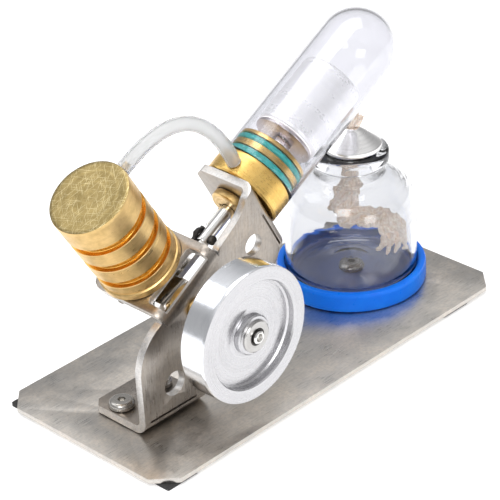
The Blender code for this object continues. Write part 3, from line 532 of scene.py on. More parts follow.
def tube_bm(points, radii, sides=16, bm=None, inner=None):
    """Sweeps a circle along points; `inner`, a radius, makes it a hollow tube."""
    bm = bm or bmesh.new()
    points = [Vector(p) for p in points]
    tangents = [(points[min(i + 1, len(points) - 1)] - points[max(i - 1, 0)]).normalized()
                for i in range(len(points))]
    across = tangents[0].orthogonal().normalized()
    skins = [[] for _ in range(2 if inner else 1)]
    for i, (p, t) in enumerate(zip(points, tangents)):
        across = (across - t * across.dot(t)).normalized()
        up = t.cross(across)
        for skin, rs in zip(skins, (radii, inner) if inner else (radii,)):
            r = rs[i] if isinstance(rs, (list, tuple)) else rs
            skin.append([bm.verts.new(p + (across * math.cos(a) + up * math.sin(a)) * r)
                         for a in (2 * math.pi * k / sides for k in range(sides))])
    for skin in skins:
        for a, b in zip(skin, skin[1:]):
            band(bm, a, b)
    for row in (0, -1):
        if inner:
            band(bm, skins[0][row], skins[1][row])
        else:
            bm.faces.new(skins[0][row])
    return bm


def spline(points, count):
    """Catmull-Rom curve through points."""
    pts = [Vector(p) for p in points]
    pts = [pts[0] * 2 - pts[1]] + pts + [pts[-1] * 2 - pts[-2]]
    out = []
    spans = len(pts) - 3
    for i in range(count + 1):
        s = min(i / count * spans, spans - 1e-9)
        k, t = int(s), s - int(s)
        a, b, c, d = pts[k:k + 4]
        out.append(0.5 * ((2 * b) + (c - a) * t + (2 * a - 5 * b + 4 * c - d) * t * t
                          + (3 * b - a - 3 * c + d) * t ** 3))
    return out


def flat_spline(points, count):
    """The same for points (x, y) in a plane."""
    return [(p.x, p.y) for p in spline([(*p, 0) for p in points], count)]


def disc_bm(radius, low, high, sides=32, edge=0.15):
    return turned_bm(smooth_profile([(0, high), (radius, high), (radius, low), (0, low)], edge), sides)


def button_screw(name, parent, location, head_r, head_h, shank_r, length, socket_r, rotation=(0, 0, 0),
                 sides=64):
    """A button-head screw with a hexagon socket; its head stands on `location`."""
    rim = 0.35 * head_h
    profile = [(0, head_h)]
    for i in range(9):
        a = math.radians(90 * (1 - i / 8))
        profile.append((head_r * (0.62 + 0.38 * math.cos(a)), rim + (head_h - rim) * math.sin(a)))
    profile += [(head_r, 0.1), (head_r - 0.1, 0), (shank_r, 0), (shank_r, -length), (0, -length)]
    screw = settle(name + "_detail", turned_bm(profile, sides), screw_steel, place(location, rotation, parent),
                   BASE, name)
    cut(screw, prism_bm(circle(socket_r, 6, start=15, stop=375), head_h - 1.25, head_h + 1.0))


# ----- base and pads
c = BASE_CHAMFER
outline = [(c, 0), (BASE_LENGTH - c, 0), (BASE_LENGTH, c), (BASE_LENGTH, BASE_DEPTH - c),
           (BASE_LENGTH - c, BASE_DEPTH), (c, BASE_DEPTH), (0, BASE_DEPTH - c), (0, c)]
taps = [circle(2.15, 32, p) for p in (*FOOT_SCREWS, (LAMP_X, LAMP_Y))]
settle("base_sheet", prism_bm(rounded(outline, 0.6), -BASE_THICKNESS, 0, taps), plate_steel, LAYOUT, BASE,
       "base_plate", bevel=0.18)
for index in range(1, 5):
    node = "rubber_foot_%d" % index
    low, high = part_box(node)
    size = (high - low) / MM
    pad = prism_bm(rounded(rectangle(0, 0, size.x, size.y), 0.7), 0.0, size.z)
    settle("foot_pad_%d" % index, pad, rubber, Matrix.Translation(low), BASE, node, bevel=0.22)


# ----- bracket
class Skin:
    """The sheet's outer skin, built panel by panel on shared points."""

    def __init__(self):
        self.bm = bmesh.new()
        self.cache = {}

    def vert(self, p):
        key = tuple(round(v, 3) for v in p)
        if key not in self.cache:
            self.cache[key] = self.bm.verts.new(p)
        return self.cache[key]

    def orient(self, face, facing):
        face.normal_update()
        if face.normal.dot(Vector(facing)) < 0:
            face.normal_flip()

    def polygon(self, loops, facing):
        edges = []
        for loop in loops:
            verts = [self.vert(p) for p in loop]
            for a, b in zip(verts, verts[1:] + verts[:1]):
                edges.append(self.bm.edges.get((a, b)) or self.bm.edges.new((a, b)))
        result = bmesh.ops.triangle_fill(self.bm, use_beauty=True, use_dissolve=False, normal=facing,
                                         edges=edges)
        for face in (g for g in result["geom"] if isinstance(g, bmesh.types.BMFace)):
            self.orient(face, facing)

    def face(self, points, facing):
        self.orient(self.bm.faces.new([self.vert(p) for p in points]), facing)


def arm_point(angle, height, side, y):
    c, s = polar(1.0, angle)
    return (CRANK_X + height * c + side * s, y, CRANK_Z + height * s - side * c)


def arm_xz(angle, *places):
    """Points (height, side) on an arm, as the layout's X and Z."""
    points = [arm_point(angle, height, side, 0) for height, side in places]
    return [(p[0], p[2]) for p in points]


def bend_row(face_height, turn):
    c, s = polar(1.0, turn)
    return (face_height - BEND_R + BEND_R * s, BRACKET_Y + BEND_R * (1 - c))


def facing_up(angle, y=0):
    c, s = polar(1.0, angle)
    return (c, y, s)


def strip(angle, side_low, side_high, low, high):
    """One facet of a flange's bend, between two rows."""
    corners = ((low, side_low), (low, side_high), (high, side_high), (high, side_low))
    skin.face([arm_point(angle, row[0], side, row[1]) for row, side in corners], facing_up(angle, -1))


def flange(angle, height, loops):
    """A flange's flat panel and its holes."""
    skin.polygon([[arm_point(angle, height, t, y) for t, y in loop] for loop in loops], facing_up(angle))


def upright(points):
    return [(x, BRACKET_Y, z) for x, z in points]


HOT_T, COLD_T, WINDOW_T = (-12.0, 14.0), (-10.3, 15.7), (-7.8, 12.8)
WINDOW_BACK, WINDOW_TURN, COLD_BACK, HOT_BACK = 30.0, 34.0, 52.2, 46.2
TURNS = range(0, 91, 9)
WINDOW_TURNS = (0, 8.5, 17, 25.5, WINDOW_TURN, 42, 50, 58, 66, 74, 82, 90)
CHAMFER = 2.6
skin = Skin()

# The upright plate, its foot and its holes.
foot_z = BEND_R + GAP
hot_line = arm_xz(HOT_ANGLE, *((HOT_FLANGE - BEND_R, t) for t in reversed(HOT_T)))
cold_line = arm_xz(COLD_ANGLE, *((COLD_FLANGE - BEND_R, t) for t in reversed(COLD_T)))
right = [(FOOT_RIGHT, foot_z)]
right += flat_spline([(39.9, 6.4), (42.6, 11.4), (47.0, 17.2), (53.5, 23.0), (61.5, 28.2), (69.0, 32.2)], 20)
right += arm_xz(HOT_ANGLE, (28.7, 16.55), (29.9, 16.55), (31.1, 16.2), (32.1, 15.5), (32.8, 14.7))
left = flat_spline(arm_xz(HOT_ANGLE, (32.6, -11.6), (30.5, -10.2), (27.0, -8.9), (21.0, -8.1), (17.8, -7.75)), 14)
left += arm_xz(HOT_ANGLE, (16.6, -7.55), (16.05, -7.2), (15.9, -6.75))
shoulder = [(23.2, 35.1)] + circle(16.0, 17, (29.9, 20.0), 114.0, 180.0, closed=False)
plate = [*right, *hot_line, *left, *cold_line, *shoulder, (FOOT_LEFT, foot_z)]
skin.polygon([upright(plate), upright(circle(3.15, 40, (CRANK_X, CRANK_Z))),
              upright(circle(4.0, 48, (26.9, 12.8))), upright(circle(3.5, 48, (62.2, 44.0)))], (0, -1, 0))
foot_rows = [(BRACKET_Y + BEND_R * (1 - c), GAP + BEND_R * (1 - s)) for c, s in (polar(1.0, t) for t in TURNS)]
for (y0, z0), (y1, z1) in zip(foot_rows, foot_rows[1:]):
    skin.face([(FOOT_LEFT, y0, z0), (FOOT_RIGHT, y0, z0), (FOOT_RIGHT, y1, z1), (FOOT_LEFT, y1, z1)],
              (0, -1, -1))
y_end, z_end = foot_rows[-1]
foot = [(FOOT_LEFT, y_end), (FOOT_RIGHT, y_end), (FOOT_RIGHT, FOOT_BACK), (FOOT_LEFT + CHAMFER, FOOT_BACK),
        (FOOT_LEFT, FOOT_BACK - CHAMFER)]
skin.polygon([[(x, y, z_end) for x, y in loop]
              for loop in (foot, *(circle(2.25, 32, p) for p in FOOT_SCREWS))], (0, 0, -1))

# The hot flange.
rows = [bend_row(HOT_FLANGE, turn) for turn in TURNS]
for low, high in zip(rows, rows[1:]):
    strip(HOT_ANGLE, *HOT_T, low, high)
h_end, y_end = rows[-1]
t0, t1 = HOT_T
panel = [(t1, y_end), (t0, y_end)]
panel += rounded([(t0, HOT_BACK - 9), (t0, HOT_BACK - 3.0), (t0 + 3.0, HOT_BACK),
                  (t1 - 3.0, HOT_BACK), (t1, HOT_BACK - 3.0), (t1, HOT_BACK - 9)], [0, 1.5, 1.5, 1.5, 1.5, 0])
flange(HOT_ANGLE, h_end, [panel, circle(4.9, 48, (0, HOT_Y))])

# The cold flange; the crank's window opens in its bend.
t0, t1 = COLD_T
w0, w1 = WINDOW_T
rows = [bend_row(COLD_FLANGE, turn) for turn in WINDOW_TURNS]
for low, high in zip(rows[:3], rows[1:4]):
    strip(COLD_ANGLE, t0, t1, low, high)
above, sill = rows[3:5]
corners = ((above, t0), (above, t1), (sill, t1), (sill, w1), (sill, w0), (sill, t0))
skin.face([arm_point(COLD_ANGLE, row[0], t, row[1]) for row, t in corners], facing_up(COLD_ANGLE, -1))
for low, high in zip(rows[4:], rows[5:]):
    strip(COLD_ANGLE, t0, w0, low, high)
    strip(COLD_ANGLE, w1, t1, low, high)
h_end, y_end = rows[-1]
panel = [(t0, y_end), (w0, y_end)]
panel += rounded([(w0, y_end + 0.2), (w0, WINDOW_BACK), (w1, WINDOW_BACK), (w1, y_end + 0.2)],
                 [0, 2.4, 2.4, 0], 6)
panel += [(w1, y_end), (t1, y_end)]
panel += rounded([(t1, y_end + 0.2), (t1, COLD_BACK), (t0, COLD_BACK), (t0, y_end + 0.2)], [0, 5.5, 5.5, 0])
opening = rounded(rectangle(COLD_OFFSET - 8.6, 31.8, COLD_OFFSET + 8.6, 50.2), 3.4, 6)
COLD_SCREWS = (COLD_OFFSET - 11.0, COLD_OFFSET + 11.0)
flange(COLD_ANGLE, h_end, [panel, opening, *(circle(1.2, 24, (t, COLD_Y)) for t in COLD_SCREWS)])

bracket = mesh_object("bracket_sheet", skin.bm, LAYOUT, (bracket_steel, edge_steel))
thick = bracket.modifiers.new("sheet", "SOLIDIFY")
thick.thickness, thick.offset, thick.use_even_offset, thick.material_offset_rim = SHEET * MM, -1.0, True, 1
bake(bracket)
cut(bracket, prism_bm(rounded(rectangle(16.4, 3.9, 35.5, 4.7), 0.39), -25, 4), place((0, 0, 0), (90, 0, 0)))
cut(bracket, prism_bm(rectangle(-1.5, -20, 13.0, -9.5), 34.4, 35.2), LAYOUT.inverted() @ HOT)
soften(bracket, 0.22, 40, sharp=28)
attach(bracket, BASE)
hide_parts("bracket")

for index, point in enumerate(FOOT_SCREWS, 1):
    button_screw("bracket_screw_%d" % index, LAYOUT, (*point, SHEET + 2 * GAP), *M4, 4.2, 1.3)

# ----- shaft, bearing and flywheel
face = BRACKET_Y + SHEET + GAP
bearing = [(2.2, BRACKET_Y - 0.8), (2.9, BRACKET_Y - 0.8), (2.9, face), (5.6, face),
           (5.6, WEB_FRONT - GAP), (2.2, WEB_FRONT - GAP)]
settle("bearing_bush", turned_bm(bearing, 64, ring=True), brass, CRANK, BASE, "main_bearing", bevel=0.12)
shaft = [(0, SHAFT_FRONT + 1.5), (0.9, SHAFT_FRONT + 1.3), (1.15, SHAFT_FRONT + 0.15), (1.3, SHAFT_FRONT),
         (1.65, SHAFT_FRONT), (2.0, SHAFT_FRONT + 0.35), (2.0, SHAFT_BACK), (0, SHAFT_BACK)]
settle("shaft_detail", turned_bm(shaft, 48), bright_steel, CRANK, "crank", "crankshaft")

r, q, f, b = FLYWHEEL_R, RECESS_R, FLYWHEEL_FRONT, FLYWHEEL_BACK
wheel = [(2.2, f - 0.75), (2.75, f - 0.9), (4.6, f - 0.9), (5.0, f - 0.6), (5.0, f + 0.15), (5.3, f + 0.3),
         (5.8, f + 0.3), (6.2, f + 0.7), (6.2, f + 2.4), (7.0, f + 2.7), (16.0, f + 2.7), (q, f + 2.3),
         (q, f + 0.45), (q + 0.35, f + 0.05), (q + 0.6, f), (r - 0.55, f), (r - 0.15, f + 0.15), (r, f + 0.6),
         (r, b - 0.5), (r - 0.5, b), (q + 0.3, b), (q, b - 0.3), (q, b - 2.4), (16.2, b - 2.6),
         (6.3, b - 2.6), (6.0, b - 2.3), (6.0, b + 6.5), (5.7, b + 6.8), (2.2, b + 6.8)]


def wheel_paint(radius, y):
    """The face, the hub's end, the rim, and the bore's chamfer round the shaft, painted dark as shade."""
    if radius > FLYWHEEL_R - 0.1:
        return 2
    # The bore's chamfer round the shaft takes the dark steel: painted shade in the gap between the shaft and the
    # wheel.
    if radius < 2.8 and y < 0:
        return 3
    return 1 if radius < 5.1 and y < 0 else 0


flywheel = settle("flywheel_detail", turned_bm(wheel, 160, ring=True, paint=wheel_paint), aluminium, CRANK,
                  "crank", "flywheel", looks=(hub_aluminium, rim_aluminium, dark_steel), sharp=24)
grub_y = b + 3.6
cut(flywheel, disc_bm(1.3, -8.0, -1.2, 24), place((0, 0, grub_y), (90, 0, 0)))
grub = settle("grub_screw_detail", disc_bm(1.05, -5.8, -2.35, 24), dark_steel,
              place((0, 0, grub_y), (90, 0, 0), CRANK), "crank", "flywheel_grub_screw")
cut(grub, prism_bm(circle(0.55, 6), -7.0, -4.9))


# ----- crank web
def shaft_plane(angle, along, across=0.0):
    c, s = polar(1.0, angle)
    return (along * c - across * s, -(along * s + across * c))


def bar(angle, back, front, half):
    """A bar's outline: square at the back, round at the front."""
    nose = circle(half, 19, (front - half, 0), -90, 90, closed=False)
    return [shaft_plane(angle, *p) for p in [(-back, half), (-back, -half)] + nose]


pin = shaft_plane(REST, THROW)
dowel = shaft_plane(REST, THROW / 2)
web = settle("crank_web_detail", prism_bm(bar(REST, 5.2, 8.0, 4.0), WEB_FRONT, WEB_BACK,
                                          [circle(PIN_R + 0.12, 24, pin)]), bright_steel, CRANK, "crank",
             "crank_web")
cut(web, turned_bm(rectangle(WEB_STEP_R, WEB_BACK + 1, 12, WEB_STEP), 72, ring=True))
cut(web, disc_bm(2.15, WEB_FRONT - 1, SHAFT_BACK + 0.2, 40))
cut(web, disc_bm(0.62, SHAFT_BACK + 0.5, WEB_BACK + 1, 20), place((*dowel, 0)))
soften(web, 0.25, 45)
settle("crank_pin_detail", disc_bm(PIN_R, WEB_FRONT + 0.4, PIN_BACK, 32), bright_steel,
       place((*pin, 0), parent=CRANK), "crank", "crank_pin")
settle("dowel_detail", disc_bm(0.5, SHAFT_BACK + 0.65, WEB_BACK - 0.05, 20), bright_steel,
       place((*dowel, 0), parent=CRANK), "guide_dowel", "straight_line_dowel")

# ----- power side
r, top, low = COLD_R, COLD_TOP, COLD_FLANGE + GAP
barrel = [(0, top - 0.12), (2.0, top - 0.05), (r - 1.6, top), (r - 0.55, top - 0.02), (r - 0.12, top - 0.25),
          (r, top - 0.7)]
for g in COLD_GROOVES:
    barrel += [(r, g + 1.55), (r - 0.1, g + 1.42), (r - 1.3, g + 1.3), (r - 1.4, g + 1.15),
               (r - 1.4, g - 1.15), (r - 1.3, g - 1.3), (r - 0.15, g - 1.42), (r, g - 1.65)]
barrel += [(r, low + 2.4), (r + 0.45, low + 2.1), (r + 0.5, low + 0.2), (r + 0.3, low), (COLD_BORE_R, low),
           (COLD_BORE_R, COLD_BORE_END), (0, COLD_BORE_END)]


def barrel_paint(radius, z):
    """The side, the worn end and the grooves."""
    if z > COLD_TOP - 0.4 and radius < COLD_R - 0.2:
        return 1
    return 2 if COLD_BORE_R + 0.5 < radius < COLD_R - 0.15 and z > 11 else 0


def drill_port(obj, radius, start, matrix, nipple_name, node, parent):
    """A port's bore through a wall, and the nipple in it."""
    cut(obj, disc_bm(radius, start, 15, 28), matrix)
    nipple = [(0.6, 10.0), (1.1, 10.0), (1.1, 15.2), (0.9, 15.6), (0.6, 15.6)]
    settle(nipple_name, turned_bm(nipple, 28, ring=True), brass, parent @ matrix, BASE, node)


cylinder = settle("power_barrel", turned_bm(barrel, 144, paint=barrel_paint), brass, BARREL, BASE,
                  "power_cylinder", looks=(brass_end, groove_brass), sharp=24)
drill_port(cylinder, 1.45, 8.5, place((0, 0, COLD_PORT), (0, 90, 0)), "cold_nipple", "power_port_nipple", BARREL)
for index, t in enumerate(COLD_SCREWS, 1):
    cut(cylinder, disc_bm(1.1, COLD_FLANGE - 1, COLD_FLANGE + 3.8, 20), place((t - COLD_OFFSET, 0, 0)))
    button_screw("cylinder_screw_%d" % index, COLD, (t, 0, COLD_FLANGE - SHEET - GAP), 1.8, 1.2, 0.9, 5.6,
                 0.55, (180, 0, 0), 32)
piston = [(0, 31.7), (8.9, 31.7), (9.25, 31.3), (9.25, 18.7), (7.9, 18.7), (7.9, 28.7), (0, 28.7)]
settle("piston_detail", turned_bm(piston, 96), aluminium, BARREL, "piston", "power_piston")

turn = math.radians(REST - COLD_ANGLE)
eye = (-THROW * math.sin(turn), THROW * math.cos(turn))
small = (eye[0] + COLD_OFFSET, 21.5)


def rod_outline(low, high, low_r, high_r, waist):
    a0 = math.degrees(math.asin(waist / low_r))
    a1 = math.degrees(math.asin(waist / high_r))
    angle = math.degrees(math.atan2(high[1] - low[1], high[0] - low[0]))
    return (circle(low_r, 31, low, angle + a0, angle + 360 - a0, closed=False)
            + circle(high_r, 27, high, angle - 180 + a1, angle + 180 - a1, closed=False))


def flat(points):
    return [(x, -z) for x, z in points]


settle("power_rod_detail", prism_bm(flat(rod_outline(eye, small, 2.4, 2.1, 1.1)), -1.2, 1.2,
                                    [flat(circle(PIN_R + 0.15, 24, eye)), flat(circle(0.95, 20, small))]),
       bright_steel, place((0, 0, 0), TURN_Y, COLD), "power_rod_link", "power_rod", bevel=0.15)
settle("wrist_pin_detail", disc_bm(0.8, -3.2, 3.2, 24), bright_steel,
       place((small[0], 0, small[1]), TURN_Y, COLD), "power_rod_link", "power_wrist_pin")

# ----- displacer side
r, n, low = HOUSING_R, NECK_R, HOT_FLANGE + GAP
housing = [(2.9, NECK_TOP), (10.9, NECK_TOP), (n - 0.05, NECK_TOP - 0.4)]
for centre in reversed(RING_AT):
    housing += [(n, centre + 1.2), (9.8, centre + 1.15), (9.8, centre - 1.15), (n, centre - 1.2)]
housing += [(n, HOUSING_TOP), (r - 0.5, HOUSING_TOP), (r - 0.1, HOUSING_TOP - 0.2), (r, HOUSING_TOP - 0.6),
            (r, low + 0.5), (r - 0.5, low), (4.9, low), (4.9, 43.6), (2.9, 43.6)]
body = settle("hot_housing", turned_bm(housing, 144, ring=True), housing_brass, HOT, BASE, "displacer_housing",
              sharp=24)
drill_port(body, 1.35, 4.0, place((0, 0, HOT_PORT), (0, 90, HOT_PORT_ANGLE)), "hot_nipple",
           "displacer_port_nipple", HOT)
for node, centre in (("o_ring_lower", RING_AT[0]), ("o_ring_upper", RING_AT[1])):
    ring = [(10.75 + 0.9 * c, centre + 1.0 * s) for c, s in (polar(1.0, a) for a in range(360, 0, -20))]
    settle(node + "_detail", turned_bm(ring, 120, ring=True), teal, HOT, BASE, node, sharp=80)


def dome(radius, angles):
    """The glass's round end, for angles from its axis."""
    return [(across, GLASS_DOME + along) for along, across in (polar(radius, a) for a in angles)]


r, rim = GLASS_R, GLASS_R - GLASS_WALL
tube = [(0, GLASS_DOME + r), *dome(r, range(5, 91, 5))]
tube += [(r, GLASS_RIM + 0.3), (r - 0.3, GLASS_RIM), (rim + 0.3, GLASS_RIM), (rim, GLASS_RIM + 0.3)]
tube += [*dome(rim, range(90, 4, -5)), (0, GLASS_DOME + rim)]
settle("hot_glass_tube", turned_bm(tube, 128), glass, HOT, BASE, "glass_hot_cap", sharp=60)

under = HOT_FLANGE - SHEET - GAP
gland = settle("gland_detail", turned_bm([(0, 40.2), (4.6, 40.2), (4.6, under), (6.6, under), (6.6, 33.5),
                                          (6.1, 33.0), (0, 33.0)], 72), brass, HOT, BASE,
               "displacer_gland", bevel=0.1)
slot_half, rod_hole = 0.85, 2.35
start = math.degrees(math.asin(slot_half / rod_hole))
keyhole = circle(rod_hole, 41, (0, 0), 90 + start, 450 - start, closed=False)
cut(gland, prism_bm(keyhole + [(slot_half, 3.8), (-slot_half, 3.8)], 32, 42))

rod = settle("displacer_rod_detail", disc_bm(2.0, 19.4, 66.0, 48, 0.3), bright_steel, HOT, ASSEMBLY,
             "displacer_rod")
cut(rod, disc_bm(0.92, -4, 4, 24), place((0, 0, CROSS_PIN_HEIGHT), TURN_Y))
cross = smooth_profile([(0, 2.2), (0.8, 2.2), (0.8, -2.25), (1.5, -2.25), (1.5, -3.1), (1.1, -3.5), (0, -3.5)],
                       0.2)
settle("cross_pin_detail", turned_bm(cross, 32), dark_steel, CROSS_PIN, ASSEMBLY, "cross_pin")
wire = spline([(0, y, z) for y, z in ((2.25, 25.4), (2.6, 25.5), (2.85, 25.8), (2.92, 26.3), (2.92, 30),
                                      (2.92, 34.6))], 24)
settle("guide_wire_detail", tube_bm(wire, 0.5, 14), bright_steel, HOT, ASSEMBLY, "guide_wire")

r, top, low = DISPLACER_R, DISPLACER_TOP, DISPLACER_BOTTOM
cap = [(2.2, low - 0.3), (9.4, low - 0.3), (9.8, low - 0.7), (9.8, low - 1.6), (2.2, low - 1.6)]
settle("displacer_cap_detail", turned_bm(cap, 96, ring=True), cap_steel, HOT, ASSEMBLY, "displacer_end_cap",
       bevel=0.12)
settle("displacer_nut_detail", prism_bm(circle(3.3, 6), low - 3.6, low - 1.85, [circle(2.2, 36)]), cap_steel,
       HOT, ASSEMBLY, "displacer_nut", bevel=0.18)
shell = [(0, top - 0.1), (r - 1.6, top), (r - 0.8, top - 0.1), (r - 0.25, top - 0.5), (r, top - 1.3),
         (r, low + 0.4), (r - 0.3, low), (r - 0.9, low), (r - 0.9, top - 1.8), (r - 1.8, top - 0.9), (0, top - 0.9)]
settle("displacer_detail", turned_bm(shell, 128), displacer_aluminium, HOT, ASSEMBLY, "displacer",
       sharp=40)

LINK_FRONT, LINK_STEP, TINE_FRONT, TINE_BACK = -1.7, 0.9, 2.35, 3.55
link = prism_bm([(LINK_FRONT, -3.0), (LINK_STEP, -3.0), (LINK_STEP, 14.8), (TINE_BACK, 14.8), (TINE_BACK, 24.2),
                 (TINE_FRONT, 24.2), (TINE_FRONT, 16.5), (LINK_FRONT, 16.5)], -1.1, 1.1)
link = settle("displacer_link_detail", link, dark_steel, place((0, 0, 0), (90, 0, 90), HOT), "displacer_rod_link",
              "displacer_link", bevel=0.12, looks=(bright_steel,))
for centre, radius, low, high in ((-THROW, 2.4, LINK_FRONT, LINK_STEP),
                                  (CROSS_PIN_HEIGHT, 2.2, TINE_FRONT, TINE_BACK)):
    combine(link, disc_bm(radius, low, high, 40), "UNION", place((0, 0, centre), TURN_Y, HOT))
link_world = link.matrix_world.inverted() @ HOT
cut(link, disc_bm(PIN_R + 0.15, -3, 2, 28), link_world @ place((0, 0, -THROW), TURN_Y))
cut(link, disc_bm(0.92, 1.6, 4.5, 24), link_world @ place((0, 0, CROSS_PIN_HEIGHT), TURN_Y))
for face in link.data.polygons:
    face.material_index = 1 if face.center.y < 14.0 * MM else 0
settle("link_pin_detail", disc_bm(0.8, 2.45, 5.0, 24, 0.2), ground_steel, CROSS_PIN, "displacer_rod_link",
       "link_pin")


# ----- hose
def port(matrix, along, around, radius):
    """A port's mouth and outward direction in layout millimetres."""
    out = Vector((*polar(1.0, around), 0))
    local = LAYOUT.inverted() @ matrix
    return (local @ (Vector((0, 0, along * MM)) + out * radius * MM)) / MM, (local.to_3x3() @ out).normalized()


start_point, start_dir = port(HOT, HOT_PORT, HOT_PORT_ANGLE, HOUSING_R + 0.35)
end_point, end_dir = port(BARREL, COLD_PORT, 0, COLD_R + 0.35)
handles = (start_point, start_point + start_dir * 26.5, end_point + end_dir * 22.5, end_point)


def hose_point(t):
    w = ((1 - t) ** 3, 3 * t * (1 - t) ** 2, 3 * t * t * (1 - t), t ** 3)
    return sum((p * k for p, k in zip(handles, w)), Vector())


hose = [hose_point(i / 90) for i in range(91)]
settle("air_hose_detail", tube_bm(hose, HOSE_R, 32, inner=HOSE_BORE_R), silicone, LAYOUT, BASE, "air_hose",
       sharp=50)

# ----- lamp
r, h, b = HOLDER_R, HOLDER_HEIGHT, BOTTLE_R
holder = [(2.25, GAP), (r - 0.7, GAP), (r - 0.2, GAP + 0.2), (r, GAP + 0.8), (r, h - 1.0), (r - 0.3, h - 0.3),
          (r - 1.0, h), (b + 1.1, h), (b + 0.5, h - 0.4), (b + 0.4, h - 1.0), (b + 0.4, HOLDER_FLOOR + 0.4),
          (b, HOLDER_FLOOR), (2.25, HOLDER_FLOOR)]


def holder_paint(radius, z):
    """The ring and its floor."""
    return int(radius < BOTTLE_R and z > HOLDER_FLOOR - 0.1)


settle("lamp_holder_detail", turned_bm(holder, 160, ring=True, paint=holder_paint), blue, LAMP, BASE,
       "lamp_holder", looks=(blue_floor_painted_pale,), sharp=40)
stand = HOLDER_FLOOR + GAP
button_screw("lamp_holder_screw", LAMP, (0, 0, stand), *M4, 3.9, 1.3)

outer = [(11.6, 47.0), (12.4, 46.75), (12.8, 46.0), (12.8, 43.4), (12.4, 42.6), (11.3, 42.0), (11.0, 41.4),
         (11.0, 39.9), (11.4, 39.2), (12.2, 38.5), (13.4, 38.0), (15.2, 37.15), (17.0, 36.0), (18.6, 34.45),
         (19.9, 32.4), (20.8, 30.0), (21.25, 27.4), (b, 24.6), (b, stand + 2.6), (b - 0.5, stand + 0.9),
         (b - 1.9, stand), (17.4, stand + 0.05), (14.0, stand + 0.7), (10.0, stand + 1.7), (6.0, stand + 2.6),
         (0, stand + 3.1)]
inside = [(0, stand + 5.0), (6.0, stand + 4.6), (10.0, stand + 3.8), (14.0, stand + 2.7), (17.0, stand + 2.2),
          (18.4, stand + 2.5), (19.3, stand + 3.4), (b - 1.6, stand + 5.0), (b - 1.6, 24.4), (19.6, 27.0),
          (19.1, 29.4), (18.2, 31.6), (16.9, 33.4), (15.2, 34.9), (13.2, 36.0), (11.0, 36.9), (8.8, 38.0),
          (7.6, 39.4), (7.4, 40.6), (7.4, 46.4), (7.0, 47.0)]
settle("lamp_bottle_detail", turned_bm(inside + outer, 144), thick_glass, LAMP, "lamp", "lamp_bottle",
       sharp=70)
cone = [(1.7, 54.2), (2.3, 54.2), (2.6, 54.05), (2.8, 53.75), (5.9, 51.4), (9.0, 49.05), (9.4, 48.7), (9.5, 48.3),
        (9.5, 47.45), (9.3, 47.3), (6.0, 47.3), (6.0, 42.6), (1.7, 42.6)]
settle("lamp_cone_detail", turned_bm(cone, 128, ring=True), cone_aluminium, ASIDE, "lamp", "lamp_cone_cap",
       sharp=30)

# The wick: strands that run up through the cone and, inside the bottle, hang
# from the neck, cross the floor and end in a frayed tassel. A route point is
# its distance along RIGHT, along DEEP and up.
ROUTE = [(0, 0, 57.4), (0, 0, 54), (0, 0, 48), (0, 0, 42.5), (-0.7, 0, 39), (-1.2, 0, 35), (-1.8, 0.3, 30.5),
         (-3.2, 0.8, 26), (-4.0, 1.2, 22), (1.0, 2.4, 20.6), (6.0, 2.4, 20.0), (10.6, 1.4, 20.6),
         (12.8, 0, 17.5), (12.6, -0.8, 13.0), (11.4, -1.6, 8.6)]
SPREAD = (0.8, 0.75, 0.75, 0.9, 2.6, 3.5, 3.9, 4.3, 4.4, 3.1, 3.0, 3.9, 4.4, 4.5, 4.3)
STRANDS, STEPS, GOLDEN_ANGLE, LOWEST = 30, 120, 2.39996, 7.6
LOOSE_FROM, LYING_FROM, TASSEL_FROM = 30, 62, 92  # steps along the route
path_line = spline([RIGHT * x + DEEP * d + Vector((0, 0, z)) for x, d, z in ROUTE], STEPS)
spread_line = [p.x for p in spline([(v, 0, 0) for v in SPREAD], STEPS)]
rng = random.Random(7)
wick = bmesh.new()
for k in range(STRANDS):
    angle, share = k * GOLDEN_ANGLE, math.sqrt((k + 0.5) / STRANDS)
    curl, phase = rng.uniform(0.38, 0.62), rng.uniform(0, 6.28)
    twist, sway = rng.uniform(-0.02, 0.03), rng.uniform(0.35, 0.6)
    line, radii = [], []
    for i in range(STEPS - rng.randrange(0, 16)):
        loose = min(1.0, max(0.0, (i - LOOSE_FROM) / 12))
        a = angle + twist * i + loose * 0.35 * math.sin(curl * 0.7 * i + phase)
        r = spread_line[i] * share * (1 + 0.12 * loose * math.sin(curl * i + phase))
        if i < LYING_FROM:
            side = Vector((math.cos(a), math.sin(a), 0))
        elif i < TASSEL_FROM:
            side = DEEP * math.cos(a) + Vector((0, 0, math.sin(a)))
        else:
            side = RIGHT * math.cos(a) + DEEP * math.sin(a)
        shake = Vector((math.sin(curl * 1.7 * i + phase), math.sin(curl * 1.3 * i + 2 * phase),
                        math.sin(curl * 1.9 * i + 3 * phase))) * sway * loose
        line.append(path_line[i] + side * r + shake)
        radii.append((0.36 + 0.36 * loose) * (1 + 0.14 * math.sin(i * 1.9 + k)))
    line = [line[0]] + [(p + q + n) / 3 for p, q, n in zip(line, line[1:], line[2:])] + [line[-1]]
    for p in line[LOOSE_FROM:]:
        p.z = max(p.z, LOWEST)
    radii[-3:] = [radii[-3], radii[-3] * 0.85, 0.3]
    tube_bm(line, radii, 7, bm=wick)
settle("wick_strands", wick, cotton, ASIDE, "lamp", "lamp_wick", sharp=80)
tip = bmesh.new()
for k in range(70):
    a, q = rng.uniform(0, 2 * math.pi), rng.uniform(0.1, 2.2)
    x, y = math.cos(a) * q, math.sin(a) * q
    root = Vector((x, y, rng.uniform(54.3, 55.8))) + RIGHT * 0.6
    lift = Vector((x * 0.25 + rng.uniform(-.3, .3), y * 0.25 + rng.uniform(-.3, .3),
                   rng.uniform(2.2, 3.0))) + RIGHT * 0.7
    tube_bm([root, root + lift * 0.5 + Vector((0, 0, 0.1)), root + lift], [0.42, 0.40, 0.2], 7, bm=tip)
settle("wick_tip", tip, cotton, ASIDE, "lamp", None, sharp=80)

